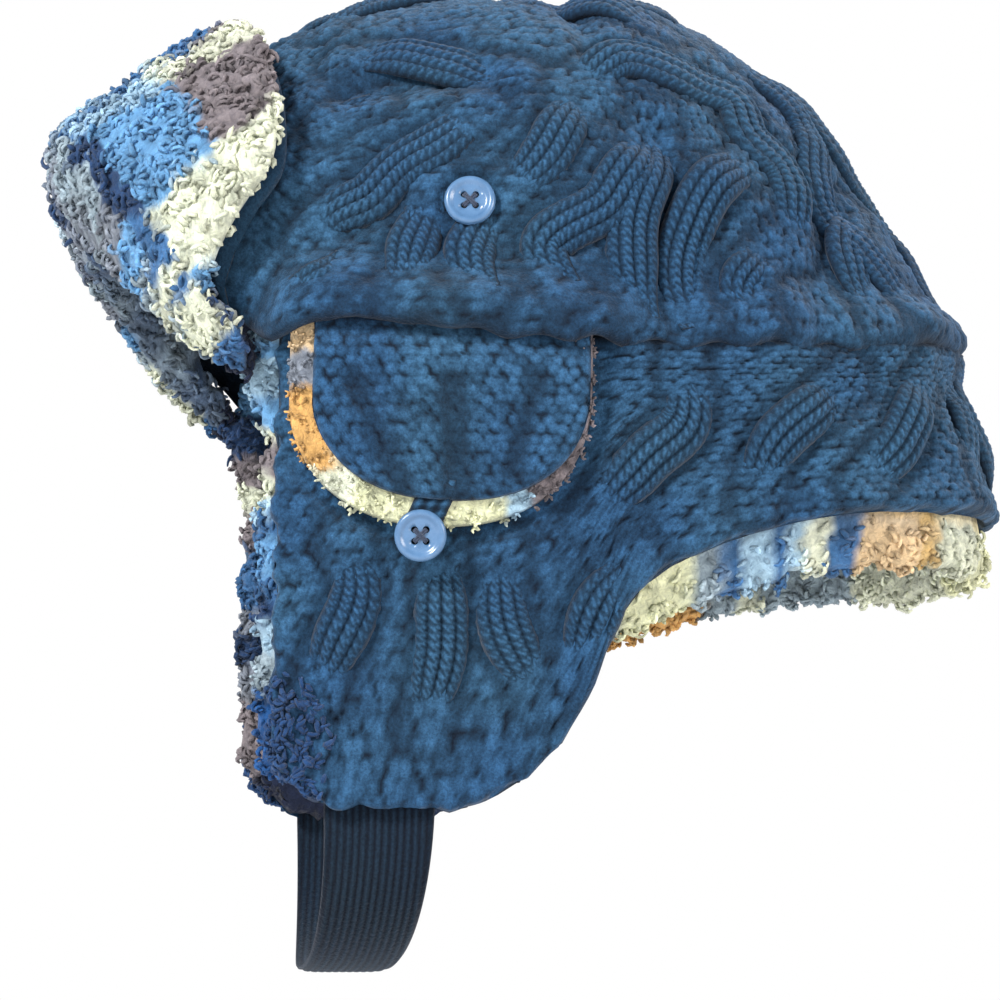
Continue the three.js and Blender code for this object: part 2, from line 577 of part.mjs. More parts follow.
// Chin strap: one flat knit band from hem to hem, hanging in a loop under the chin. Each section is a flat
// rectangle whose wide side runs along the hem at the ends, and from front to back in the middle.
const STRAP_END = { y: -80, z: FLAP_BOTTOM_Z - SOLID_GAP };
const STRAP_MIDDLE_Y = -86;
const STRAP_STEPS = 28;
function strapPoint(turn, end) {
  const across = Math.sign(turn) * Math.abs(Math.sin(turn)) ** 0.77;
  const y = STRAP_MIDDLE_Y + (end.y - STRAP_MIDDLE_Y) * Math.abs(across) ** 1.5;
  return new THREE.Vector3(end.x * across, y, end.z - STRAP_DROP * Math.cos(turn));
}
function strapSolid() {
  const seat = seatOn(STRAP_END, 1);
  const outward = new THREE.Vector3().setFromMatrixColumn(seat, 2);
  const end = new THREE.Vector3().setFromMatrixPosition(seat).addScaledVector(outward, -KNIT_THICKNESS / 2);
  end.z = STRAP_END.z;
  const endYaw = Math.atan2(outward.y, outward.x);
  const positions = [];
  const index = [];
  for (let step = 0; step <= STRAP_STEPS; step++) {
    const turn = (Math.PI / 2) * ((2 * step) / STRAP_STEPS - 1);
    const share = Math.abs(turn) / (Math.PI / 2);
    const yaw = -Math.sign(turn) * endYaw * share ** 2;
    const widthAxis = new THREE.Vector3(Math.sin(yaw), Math.cos(yaw), 0);
    const ahead = strapPoint(Math.min(turn + 0.01, Math.PI / 2), end);
    const along = ahead.sub(strapPoint(Math.max(turn - 0.01, -Math.PI / 2), end));
    if (step === 0 || step === STRAP_STEPS) along.set(0, 0, Math.sign(turn));
    const thickAxis = new THREE.Vector3().crossVectors(along, widthAxis).normalize();
    const centre = strapPoint(turn, end);
    const width = STRAP_MIDDLE_WIDTH + (STRAP_END_WIDTH - STRAP_MIDDLE_WIDTH) * share;
    for (const [wide, thick] of HOLE_CORNERS) {
      const corner = centre.clone().addScaledVector(widthAxis, (wide * width) / 2);
      positions.push(...corner.addScaledVector(thickAxis, (thick * STRAP_THICKNESS) / 2).toArray());
    }
    if (step === 0) continue;
    for (let side = 0; side < 4; side++) {
      const [a, b] = [(step - 1) * 4 + side, (step - 1) * 4 + ((side + 1) % 4)];
      index.push(a, b, a + 4, b, b + 4, a + 4);
    }
  }
  const last = STRAP_STEPS * 4;
  index.push(0, 2, 1, 0, 3, 2, last, last + 1, last + 2, last, last + 2, last + 3);
  return manifoldOf(positions, index);
}
addPiece("chin_strap", strapSolid(), navyDark);

export default hat;
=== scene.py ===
"""A cable-knit trapper hat with a curly plaid fleece lining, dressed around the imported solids.

Shapes are worked out in millimetres, in the frame of the solids, and written to the meshes in metres.
+Z is up, the wearer faces -Y and the wearer's left is +X.
"""

import math
from functools import cache
from itertools import product

import bmesh
import bpy
import numpy as np
from mathutils import Matrix, Vector, kdtree


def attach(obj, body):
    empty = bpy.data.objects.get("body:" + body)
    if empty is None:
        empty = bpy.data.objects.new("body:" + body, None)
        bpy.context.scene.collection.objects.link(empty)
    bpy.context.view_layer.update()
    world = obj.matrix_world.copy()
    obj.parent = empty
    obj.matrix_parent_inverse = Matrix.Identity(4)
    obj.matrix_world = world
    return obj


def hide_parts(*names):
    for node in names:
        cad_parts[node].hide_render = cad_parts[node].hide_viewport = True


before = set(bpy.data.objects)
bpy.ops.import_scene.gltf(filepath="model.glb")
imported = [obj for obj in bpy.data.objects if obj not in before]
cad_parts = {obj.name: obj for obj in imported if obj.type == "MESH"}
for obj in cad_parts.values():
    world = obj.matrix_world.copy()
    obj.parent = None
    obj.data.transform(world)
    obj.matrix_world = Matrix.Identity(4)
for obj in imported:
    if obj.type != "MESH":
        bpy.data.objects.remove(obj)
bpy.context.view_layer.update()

MM = 0.001

# Sizes of the hat, in millimetres
KNIT_THICKNESS = 4.0
LINING_THICKNESS = 7.5
SOLID_GAP = 0.3
HEM_ROLL_HEIGHT = 5.5
HEM_ROLL_OVER_COVER = 7.0
HEM_OVERHANG = 3.0
FLAP_OVERHANG = 7.5
KNIT_EDGE_ROLL = 3.0
EDGE_REVEAL = 10.5
HEM_REVEAL = 16.0
FLAP_STANDOFF = 3.8
FLAP_KNIT_TOP = FLAP_STANDOFF + KNIT_THICKNESS
FLAP_FACE_LOW = FLAP_KNIT_TOP + SOLID_GAP
FLAP_FACE_TOP = FLAP_FACE_LOW + 8.0
LINING_TOP = -KNIT_THICKNESS - SOLID_GAP
LINING_FLOOR = LINING_TOP - LINING_THICKNESS
COVER_LINING = (0.9, 3.5)
COVER_KNIT = (3.8, 7.0)
BUTTON_DIAMETER = 15.3
BUTTON_THICKNESS = 3.0
HOLE_RADIUS = 1.0
HOLE_OFFSET = 1.7
BUTTON_FACE = 0.69
THREAD_RADIUS = 0.36
THREAD_END = 0.6
CROWN_BUTTON_SEAT = 0.9
COVER_BUTTON_SEAT = 7.3
STRAP_END_WIDTH = 33.0
STRAP_MIDDLE_WIDTH = 27.0
STRAP_THICKNESS = 3.2
STRAP_DROP = 46.5
# Millimetres of surface to a ring, in the band and at the foot of the crown
BAND_RING_STEP = 29.0
CROWN_RING_STEP = 34.0

# Stitches: the height of a row and the width on a cover in millimetres, and their number around the hat
COURSE = 2.9
COVER_WALE = 3.3
BAND_WALES = 216
CROWN_WALES_PER_COLUMN = 0.36

# Rings of the base surface from the apex down, with the columns
# front_y, front_z, back_y, back_z, wide_y, half_width, square, droop
RINGS = np.array(
    [
        (-20.5, 110, -20.5, 110, -20.5, 0, 0, 0),
        (-56, 109, 13, 105, -20, 34, 0, 2),
        (-92, 102, 41, 92, -19, 58, 0, 6),
        (-120, 87, 64, 71, -17, 74, 0, 9),
        (-146, 67, 79, 50, -14, 83, 0, 11),
        (-169, 47, 94, 26, -11, 88, 0.1, 12),
        (-167, 4, 109, -3, -9, 89, 0.25, 10),
        (-153, -24, 110.5, -18, -8, 88, 0.4, 8),
        (-146, -52, 116, -38, -8, 87, 0.5, 4),
        (-143, -80, 121.5, -66, -8, 84, 0.6, 0),
        (-141, -113, 122, -110, -9, 78, 0.7, 0),
        (-140, -170, 120, -170, -10, 67, 0.7, 0),
    ],
    float,
)
SEAM_RING = 6
FIRST_RING = 0.05
APEX_RING = 0.3
LAST_RING = 11.4

# Places in the side view, as Y and Z
FRONT_EDGE_Y = -108.5
BROW_CENTRE = (-171.0, 49.0)
FLAP_BOTTOM_Z = -150.5
COVER_OUTER = dict(front=-107.0, back=-19.0, straight=-26.0, bottom=-67.5)
COVER_INNER = dict(front=-99.5, back=-20.0, straight=-26.0, bottom=-60.0)
COVER_ROUNDNESS = 2.3
CROWN_BUTTON = (-55.0, 29.5)
COVER_BUTTON = (-69.0, -70.0)
COVER_TAB = dict(root_y=-64, top=-54, bottom=-77, half_width=5.6, lift=5.4)
STRAP_END = (-80.0, FLAP_BOTTOM_Z - SOLID_GAP)
STRAP_MIDDLE_Y = -86.0

# Grooves of the crown seen from the side: from Y, Z to Y, Z, depth and width
FOLDS = (
    (-90, 66, -50, 72, 4.5, 6),
    (-102, 16, -70, 46, 2.5, 8),
    (2, 52, 7, -4, 4.5, 6),
    (62, 36, 50, -4, 3.5, 7),
    (-20, 109, -16, 82, 4.0, 5.5),
)

# The camera of the photograph
CAMERA_AZIMUTH = 83.0
CAMERA_ELEVATION = -7.0
CAMERA_DISTANCE = 1070.0
CAMERA_TARGET = (0.0, -35.6, -49.0)
CAMERA_LENS = 120.0
CAMERA_SENSOR = 36.0
PICTURE_SIZE = 1000
FOCAL_PIXELS = CAMERA_LENS / CAMERA_SENSOR * PICTURE_SIZE


# The base surface


def catmull_rom(rows, place):
    """Smooth values between the rows of a table, at row numbers that may lie between two rows."""
    row = np.clip(np.floor(place), 0, len(rows) - 2).astype(int)
    share = (place - row)[..., None]
    padded = np.vstack([2 * rows[0] - rows[1], rows, 2 * rows[-1] - rows[-2]])
    a, b, c, d = (padded[row + k] for k in range(4))
    s2, s3 = share**2, share**3
    slopes = (s3 - 2 * s2 + share) * (c - a) / 2 + (s3 - s2) * (d - b) / 2
    return (2 * s3 - 3 * s2 + 1) * b + (3 * s2 - 2 * s3) * c + slopes


def curve_through(controls, count=240):
    """Points along a smooth curve through rows of controls."""
    controls = np.asarray(controls, float)
    return catmull_rom(controls, np.linspace(0, len(controls) - 1 - 1e-9, count))


def base_point(angle, ring):
    """The outer knit surface. The angle is 0 at the back, 90 degrees on the left and 180 in front."""
    angle, ring = np.broadcast_arrays(np.asarray(angle, float), np.asarray(ring, float))
    values = np.moveaxis(catmull_rom(RINGS, ring), -1, 0)
    front_y, front_z, back_y, back_z, wide_y, half_width, square, droop = values
    sine, cosine = np.sin(angle), np.cos(angle)
    x = half_width * sine * np.sqrt(1 + 0.9 * square * cosine**2)
    along = cosine * np.sqrt(1 + 0.9 * square * sine**2)
    reach = np.maximum(np.where(cosine > 0, back_y - wide_y, wide_y - front_y), 1e-6)
    y = wide_y + along * reach
    tilt = (back_z - front_z) * (y - front_y) / np.maximum(back_y - front_y, 1e-6)
    z = front_z + tilt - droop * (1 - along**2)
    return np.stack([x, y, z], -1)


def unit(vectors):
    return vectors / np.maximum(np.linalg.norm(vectors, axis=-1, keepdims=True), 1e-9)


def base_normal(angle, ring):
    step = 1e-3
    at = np.maximum(ring, FIRST_RING)
    around = base_point(angle + step, at) - base_point(angle - step, at)
    down = base_point(angle, at + step) - base_point(angle, at - step)
    return unit(np.cross(around, down))


def lifted(angle, ring, lift):
    point = base_point(angle, ring)
    return point + base_normal(angle, ring) * np.asarray(lift, float)[..., None]


def apex(lift):
    return lifted(np.zeros(1), np.full(1, FIRST_RING), np.full(1, lift))


def halve(low, high, too_low, steps=20):
    """The value between low and high, elementwise, up to which too_low holds."""
    for _ in range(steps):
        middle = (low + high) / 2
        under = too_low(middle)
        low, high = np.where(under, middle, low), np.where(under, high, middle)
    return (low + high) / 2


def point_at(angle, ring, lift):
    """A point at one lift for all, which needs no normal where the lift is 0."""
    return lifted(angle, ring, np.full(np.shape(ring), lift)) if lift else base_point(angle, ring)


def ring_at_height(angle, z, lift=0.0):
    start = np.full(np.shape(z), APEX_RING)
    return halve(start, start + LAST_RING, lambda ring: point_at(angle, ring, lift)[..., 2] > z)


def locate(y, z, lift=0.0):
    """Angle and ring of the point on the wearer's left side that the side view shows at y, z."""
    y, z = np.broadcast_arrays(np.asarray(y, float), np.asarray(z, float))

    def behind(angle):
        return point_at(angle, ring_at_height(angle, z, lift), lift)[..., 1] > y

    angle = halve(np.zeros(y.shape), np.full(y.shape, math.pi), behind)
    return angle, ring_at_height(angle, z, lift)


def seam_z(y):
    """Height of the seam between crown and band at a Y of the side view."""
    front_y, front_z, back_y, back_z, wide_y, _, _, droop = RINGS[SEAM_RING]
    level = front_z + (back_z - front_z) * (y - front_y) / (back_y - front_y)
    share = np.where(y > wide_y, (y - wide_y) / (back_y - wide_y), (wide_y - y) / (wide_y - front_y))
    return level - droop * np.maximum(1 - share**2, 0)


def smooth(low, high, value):
    share = np.clip((value - low) / (high - low), 0, 1)
    return share * share * (3 - 2 * share)


@cache
def camera_frame():
    azimuth, elevation = math.radians(CAMERA_AZIMUTH), math.radians(CAMERA_ELEVATION)
    forward = np.array(
        [
            -math.sin(azimuth) * math.cos(elevation),
            math.cos(azimuth) * math.cos(elevation),
            -math.sin(elevation),
        ]
    )
    right = unit(np.cross(forward, (0, 0, 1)))
    return forward, right, np.cross(right, forward), np.array(CAMERA_TARGET) - forward * CAMERA_DISTANCE


def picture_place(point):
    """Pixel column and row at which the photograph shows a point."""
    forward, right, up, eye = camera_frame()
    away = point - eye
    scale = FOCAL_PIXELS / (away @ forward)
    return PICTURE_SIZE / 2 + scale * (away @ right), PICTURE_SIZE / 2 - scale * (away @ up)


@cache
def traced(trace):
    """Angles and rings on the hat's near side of points traced in the photograph, in its pixels."""
    forward, right, up, eye = camera_frame()
    pixels = np.array(trace, float)
    across = (pixels[:, :1] - PICTURE_SIZE / 2) / FOCAL_PIXELS
    above = (PICTURE_SIZE / 2 - pixels[:, 1:]) / FOCAL_PIXELS
    ray = forward + across * right + above * up
    x = np.full(len(pixels), 80.0)
    for _ in range(6):
        point = eye + ray * ((x - eye[0]) / ray[:, 0])[:, None]
        angle, ring = locate(point[:, 1], point[:, 2])
        x = 0.5 * x + 0.5 * base_point(angle, ring)[:, 0]
    return angle, ring


# Random fields


def lattice_hash(cells, seed):
    """A number from 0 to 1 for each whole-numbered cell."""
    total = np.full(cells.shape[:-1], seed * 7919 + 17, np.int64)
    for axis, factor in enumerate((73856093, 19349663, 83492791)[: cells.shape[-1]]):
        total ^= cells[..., axis].astype(np.int64) * factor
    total = (total ^ (total >> 13)) * 1274126177
    total = (total ^ (total >> 16)) & 0xFFFF
    return total / 65535.0


def noise(points, scale, seed):
    """A smooth field from -1 to 1 whose bumps lie about scale apart."""
    places = np.asarray(points) / scale
    cells = np.floor(places).astype(np.int64)
    share = places - cells
    share = share * share * (3 - 2 * share)
    total = np.zeros(places.shape[:-1])
    for corner in product((0, 1), repeat=places.shape[-1]):
        weight = np.prod(np.where(np.array(corner) > 0, share, 1 - share), axis=-1)
        total += weight * lattice_hash(cells + np.array(corner), seed)
    return total * 2 - 1


def clumps(points, size, seed):
    """Domes of 1 that fall to 0 between them, about size apart, as the curls of a pile fleece."""
    places = np.asarray(points) / size
    cells = np.floor(places).astype(np.int64)
    nearest = np.full(places.shape[:-1], 9.0)
    for offset in product((-1, 0, 1), repeat=3):
        near = cells + np.array(offset)
        jitter = np.stack([lattice_hash(near, seed + k) for k in range(3)], -1)
        nearest = np.minimum(nearest, np.sum((places - near - 0.15 - 0.7 * jitter) ** 2, -1))
    return np.clip(1 - nearest / 0.75, 0, 1) ** 0.5


def purl_bumps(across, along, seed):
    """Rounded bumps in brick order, for lattice places counted in wales and courses."""
    height = np.zeros(np.shape(across))
    row = np.floor(along)
    for down in (-1, 0, 1):
        line = row + down
        shift = 0.5 * np.mod(line, 2)
        column = np.floor(across - shift)
        for side in (0, 1, -1):
            cell = np.stack([column + side, line], -1).astype(np.int64)
            jitter = 0.42 * (lattice_hash(cell, seed) - 0.5)
            rise = 0.5 * (lattice_hash(cell, seed + 5) - 0.5)
            size = 0.65 + 0.45 * lattice_hash(cell, seed + 9)
            dx = (across - shift - column - side - 0.5 - jitter) / 0.6
            dy = (along - line - 0.5 - rise) / 0.68
            height = np.maximum(height, size * np.sqrt(np.clip(1 - dx * dx - dy * dy, 0, 1)))
    return height


# Meshes


class Body:
    """Points, tints and faces of one piece, gathered part by part."""

    def __init__(self):
        self.points, self.tints, self.count, self.faces = [], [], 0, []

    def add(self, points, tints=(0.0, 0.0, 0.0)):
        """Adds a grid of points in millimetres, each with its tint, and returns the grid of their numbers."""
        points = np.asarray(points, float)
        tints = np.broadcast_to(np.asarray(tints, float), points.shape)
        number = int(np.prod(points.shape[:-1]))
        self.points.append(points.reshape(-1, 3))
        self.tints.append(tints.reshape(-1, 3))
        grid = np.arange(self.count, self.count + number).reshape(points.shape[:-1])
        self.count += number
        return grid

    def quads(self, grid, closed=False, flip=False):
        """Faces between the rows of a grid, whose columns close into a ring where closed is true."""
        if closed:
            grid = np.concatenate([grid, grid[..., :1]], axis=-1)
        corners = [grid[..., :-1, :-1], grid[..., 1:, :-1], grid[..., 1:, 1:], grid[..., :-1, 1:]]
        if flip:
            corners.reverse()
        self.faces.append(np.stack(corners, -1).reshape(-1, 4))

    def zip(self, first, second, flip=False):
        """Triangles between two lines of points that start and end together."""
        i, j, found = 0, 0, []
        m, n = len(first) - 1, len(second) - 1
        while i < m or j < n:
            if j >= n or (i < m and (i + 1) * n <= (j + 1) * m):
                found.append((first[i], second[j], first[i + 1]))
                i += 1
            else:
                found.append((first[i], second[j], second[j + 1]))
                j += 1
        found = np.array(found)
        self.faces.append(found[:, ::-1] if flip else found)

    def fan(self, centre, loop, flip=False):
        found = np.stack([np.full(len(loop), centre), loop, np.roll(loop, -1)], -1)
        self.faces.append(found[:, ::-1] if flip else found)

    def tubes(self, rings, tints):
        """Closed tubes from rings shaped tube, step, side, with flat ends that come to a fan."""
        grid = self.add(rings, tints)
        wrapped = np.concatenate([grid, grid[..., :1]], axis=-1)
        corners = [wrapped[:, :-1, :-1], wrapped[:, 1:, :-1], wrapped[:, 1:, 1:], wrapped[:, :-1, 1:]]
        self.faces.append(np.stack(corners, -1).reshape(-1, 4))
        for ends, flip in ((grid[:, 0], False), (grid[:, -1], True)):
            for k in range(1, ends.shape[1] - 1):
                cap = np.stack([ends[:, 0], ends[:, k], ends[:, k + 1]], -1)
                self.faces.append(cap[:, ::-1] if flip else cap)


def make_mesh(name, body):
    """A Blender object with a body's points, faces and tints. Faces are turned outwards."""
    points = np.concatenate(body.points) * MM
    tints = np.concatenate(body.tints)
    sizes = np.concatenate([np.full(len(f), f.shape[1]) for f in body.faces])
    loops = np.concatenate([f.ravel() for f in body.faces]).astype(np.int32)
    mesh = bpy.data.meshes.new(name)
    mesh.vertices.add(len(points))
    mesh.vertices.foreach_set("co", points.ravel().astype(np.float32))
    mesh.loops.add(len(loops))
    mesh.loops.foreach_set("vertex_index", loops)
    mesh.polygons.add(len(sizes))
    starts = np.concatenate([[0], np.cumsum(sizes)[:-1]]).astype(np.int32)
    mesh.polygons.foreach_set("loop_start", starts)
    mesh.update(calc_edges=True)
    layer = mesh.attributes.new("tint", "FLOAT_COLOR", "POINT")
    colours = np.column_stack([tints, np.ones(len(tints))])
    layer.data.foreach_set("color", colours.ravel().astype(np.float32))
    outwards(mesh)
    mesh.polygons.foreach_set("use_smooth", np.ones(len(mesh.polygons), bool))
    piece = bpy.data.objects.new(name, mesh)
    bpy.context.scene.collection.objects.link(piece)
    return piece


def outwards(mesh):
    """Turns every closed part of a mesh so that its faces point out."""
    work = bmesh.new()
    work.from_mesh(mesh)
    bmesh.ops.recalc_face_normals(work, faces=work.faces)
    work.to_mesh(mesh)
    work.free()


def dress(piece, slot, material, *nodes):
    """Gives a piece its material, ties it to the hat's body and hides the nodes it stands for. The slot is
    not used.
    """
    piece.data.materials.append(material)
    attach(piece, "root")
    if nodes:
        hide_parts(*nodes)
    return piece


def distance_to(points, line, step=1.0):
    """Distance of each point to a closed or open line of points, in millimetres."""
    dense = []
    for a, b in zip(line[:-1], line[1:]):
        parts = max(1, int(np.linalg.norm(b - a) / step))
        dense.extend(a + (b - a) * k / parts for k in range(parts))
    dense.append(line[-1])
    tree = kdtree.KDTree(len(dense))
    for number, place in enumerate(dense):
        tree.insert(place, number)
    tree.balance()
    flat = points.reshape(-1, 3)
    return np.array([tree.find(place)[2] for place in flat]).reshape(points.shape[:-1])


def pillow(distance, radius):
    """Share of the half thickness at a distance from a rounded edge."""
    return np.sqrt(np.clip(1 - (1 - np.minimum(distance / radius, 1)) ** 2, 0, 1))


def spread(count, edge=0.0):
    """Shares from 0 to 1, crowded towards both ends where edge is above 0."""
    even = np.linspace(0, 1, count)
    return (1 - edge) * even + edge * (1 - np.cos(math.pi * even)) / 2


# Relief of the knit

BUMP_HEIGHT = 1.5


def fold_depth(point, folds=FOLDS):
    """How deep the folds press into the knit at a point."""
    depth = np.zeros(point.shape[:-1])
    side = point[..., 1:]
    for from_y, from_z, to_y, to_z, deep, width in folds:
        start = np.array((from_y, from_z), float)
        along = np.array((to_y, to_z), float) - start
        share = np.clip((side - start) @ along / (along @ along), 0, 1)
        away = np.linalg.norm(side - start - share[..., None] * along, axis=-1) / width
        depth += deep * np.exp(-away * away)
    return depth


def hem_roll(point, ring):
    """Height of the crown's rolled hem, which is fuller over the ear covers."""
    above = (SEAM_RING - ring) * CROWN_RING_STEP
    rolled = np.where(above >= 0, np.exp(-(((above - 4) / 11) ** 2)), 0)
    lumps = 1 + 0.22 * noise(point, 11.0, 6)
    y = point[..., 1]
    over_cover = smooth(COVER_OUTER["front"] - 6, COVER_OUTER["front"] + 6, y)
    over_cover = over_cover * (1 - smooth(COVER_OUTER["back"] - 4, COVER_OUTER["back"] + 14, y))
    height = HEM_ROLL_HEIGHT * smooth(FRONT_EDGE_Y - 8, FRONT_EDGE_Y + 12, y)
    return (height + HEM_ROLL_OVER_COVER * over_cover) * rolled * lumps


def near_place(point, place, reach):
    """1 at a place of the side view, falling to 0 at its reach."""
    return 1 - smooth(reach * 0.75, reach, np.hypot(point[..., 1] - place[0], point[..., 2] - place[1]))


def under_cover(point):
    """1 where an ear cover lies on the band's knit."""
    middle = (COVER_OUTER["front"] + COVER_OUTER["back"]) / 2
    reach_y = (COVER_OUTER["back"] - COVER_OUTER["front"]) / 2 + 4
    reach_z = COVER_OUTER["straight"] - COVER_OUTER["bottom"] + 4
    lower = np.minimum(point[..., 2] - COVER_OUTER["straight"], 0) / reach_z
    away = np.hypot((point[..., 1] - middle) / reach_y, lower)
    return np.where(point[..., 2] < seam_z(point[..., 1]) + 0.5, 1 - smooth(1, 1.1, away), 0)


def pressed(point):
    """1 where a cover, a button or the front flap lies on the knit, so that its relief is flat."""
    under_flap = smooth(-110, -118, point[..., 1]) * (point[..., 2] < 90)
    buttons = np.maximum(near_place(point, CROWN_BUTTON, 11), near_place(point, COVER_BUTTON, 10))
    return np.maximum(np.maximum(under_cover(point), under_flap), buttons)


def soft_lift(angle, ring):
    """The slow relief of the knit, which ribs and bumps ride on."""
    point = base_point(angle, ring)
    flat = pressed(point)
    sway = 1.3 + 2.0 * noise(point, 21.0, 3) + 0.9 * noise(point, 9.0, 4)
    return np.maximum(sway - fold_depth(point), -3.2) * (1 - flat) + hem_roll(point, ring)


def knit_tint(height, point):
    """Crest and patch values from 0 to 1, in red and green, which the knit's material colours by. A low crest
    is painted shade, and the patch is random tone.
    """
    patch = 0.5 + 0.5 * noise(point, 22.0, 11)
    return np.stack([np.clip(height, 0, 1), patch, 0 * patch], -1)


# Crown

ZONE_COLUMNS = (600, 400, 200, 100, 50, 25)
ROW_STEP = 1.02
FULL_PERIMETER = 735.0
FULL_COLUMNS = 540


def brow_line_side(point):
    """Above 0 in front of and below the crown's front edge, in the side view."""
    foot = np.array((FRONT_EDGE_Y, seam_z(FRONT_EDGE_Y)))
    along = np.array(BROW_CENTRE) - foot
    offset = point[..., 1:] - foot
    return along[0] * offset[..., 1] - along[1] * offset[..., 0]


def crown_edge(angle):
    """The ring at which the crown ends: the seam, or the front edge between the ear flaps."""
    start = np.full(np.shape(angle), 1.0)
    front = halve(start, start + 6.5, lambda ring: brow_line_side(base_point(angle, ring)) < 0)
    at_seam = base_point(angle, SEAM_RING)[..., 1] > FRONT_EDGE_Y
    return np.where(at_seam, SEAM_RING, np.minimum(front, SEAM_RING + 0.3))


def crown_rows(columns, distances):
    """Angles and rings of a grid whose rows lie at given shares of the way from the apex to the edge."""
    angle = np.arange(columns) * 2 * math.pi / columns
    edge = crown_edge(angle)
    shares = np.linspace(0, 1, 120)
    rings = FIRST_RING + (edge - FIRST_RING) * shares[:, None]
    path = base_point(angle[None, :], rings)
    steps = np.linalg.norm(np.diff(path, axis=0), axis=-1)
    length = np.vstack([np.zeros(columns), np.cumsum(steps, axis=0)])
    found = np.empty((len(distances), columns))
    for column in range(columns):
        found[:, column] = np.interp(distances * length[-1, column], length[:, column], rings[:, column])
    return angle[None, :] + 0 * found, found, length[-1]


def crown_row_shares(total=168.0):
    """Shares of the way from the apex to the edge, a row for each ROW_STEP and finer rows at the hem."""
    fine = np.array([0, 0.25, 0.7, 1.3, 2.1]) / total
    count = int(total / ROW_STEP)
    even = np.linspace(ROW_STEP * 2 / total, 1 - 3.0 / total, count)
    return np.concatenate([even, 1 - fine[::-1]])


def zone_of_rows(shares):
    """Number of columns of each row, fewer where the rings are short."""
    perimeter = []
    angle = np.linspace(0, 2 * math.pi, 90)
    for share in shares:
        loop = base_point(angle, np.full(90, FIRST_RING + (SEAM_RING - FIRST_RING) * share))
        perimeter.append(np.linalg.norm(np.diff(loop, axis=0), axis=-1).sum())
    columns = []
    for length in perimeter:
        fitting = [count for count in ZONE_COLUMNS if count >= length / FULL_PERIMETER * FULL_COLUMNS]
        columns.append(min(fitting) if fitting else ZONE_COLUMNS[0])
    return columns


def overhung(points, from_edge):
    """The hem's rows, let down unevenly over the band and carried forward to the front flap's foot."""
    y = points[..., 1]
    drop = HEM_OVERHANG * (1 + 0.6 * noise(points * (1, 1, 0), 9.0, 8)) * (1 - smooth(0, 12, from_edge))
    beside_flap = smooth(-142, -130, y) * (1 - smooth(-112, -98, y))
    onward = FLAP_OVERHANG * (1 - smooth(0, 18, from_edge)) * beside_flap
    points = points - onward[..., None] * (0, 0.75, 0.65)
    return points - (drop * smooth(-150, -135, y))[..., None] * (0, 0, 1)


def crown_knit_shell():
    """The crown's knit, from zones of rows with fewer columns towards the apex, closed by a plain inside."""
    body = Body()
    shares = crown_row_shares()
    counts = zone_of_rows(shares)
    previous = None
    start = 0
    while start < len(shares):
        stop = start
        while stop < len(shares) and counts[stop] == counts[start]:
            stop += 1
        columns = counts[start]
        angle, ring, length = crown_rows(columns, shares[start:stop])
        point = base_point(angle, ring)
        from_edge = (1 - shares[start:stop, None]) * length
        wales = np.round(columns * CROWN_WALES_PER_COLUMN)
        bumps = purl_bumps(angle * wales / (2 * math.pi), from_edge / COURSE, 21)
        flat = pressed(point)
        crease = beside_cables(point, "crown")
        top = soft_lift(angle, ring) + BUMP_HEIGHT * bumps * (1 - flat) - CREASE_DEPTH * crease
        rounded = pillow(from_edge, 5.0)
        middle = np.maximum(hem_roll(point, np.full(ring.shape, SEAM_RING - 0.1)) - 3.5, -2)
        lift = middle + (top - middle) * rounded
        # Painted shade: the tint darkens where the hem rolls under and beside the cables.
        tint = knit_tint(bumps * rounded * (1 - 0.5 * crease), point)
        grid = body.add(overhung(lifted(angle, ring, lift), from_edge), tint)
        body.quads(grid, closed=True)
        if previous is None:
            pole = body.add(apex(-1.0), (0.2, 0.5, 0.5))
            body.fan(pole[0], grid[0])
        else:
            body.zip(np.append(previous, previous[0]), np.append(grid[0], grid[0][0]))
        previous = grid[-1]
        start = stop
    angle, ring, _ = crown_rows(100, np.linspace(0.03, 0.985, 26))
    # The inside is given a low crest: painted shade.
    inner = body.add(lifted(angle, ring, np.full(ring.shape, -KNIT_THICKNESS)), (0.05, 0.5, 0.5))
    body.quads(inner, closed=True, flip=True)
    inner_pole = body.add(apex(-KNIT_THICKNESS))
    body.fan(inner_pole[0], inner[0], flip=True)
    body.zip(np.append(previous, previous[0]), np.append(inner[-1], inner[-1][0]))
    return body


# Band and ear flaps


def hem_z(y, edge_reveal, hem_reveal):
    """Height of the band's lower edge at a Y of the side view: the ear flap in front, the neck hem behind."""
    front = FRONT_EDGE_Y - edge_reveal
    side = min(hem_reveal, 0.6)
    bottom = FLAP_BOTTOM_Z
    t = np.linspace(0, 1, 40)[:, None]

    def arc(*points):
        n = len(points) - 1
        return sum(math.comb(n, k) * (1 - t) ** (n - k) * t**k * np.array(p) for k, p in enumerate(points))

    outline = np.vstack(
        [
            [(front - 0.01, -120)],
            arc((front, -120), (front + 1, bottom), (front + 22 + edge_reveal, bottom)),
            arc((-64, bottom), (-37 + side, bottom), (-20.5 + side, -128), (-12.5 + side, -101)),
            arc((-12.5 + side, -101), (-9, -84 - hem_reveal), (15, -74 - hem_reveal)),
            arc((15, -74 - hem_reveal), (48, -60.5 - hem_reveal), (84, -59.5 - hem_reveal)),
            [(150, -57 - hem_reveal * 1.15)],
        ]
    )
    return np.interp(y, outline[:, 0], outline[:, 1])


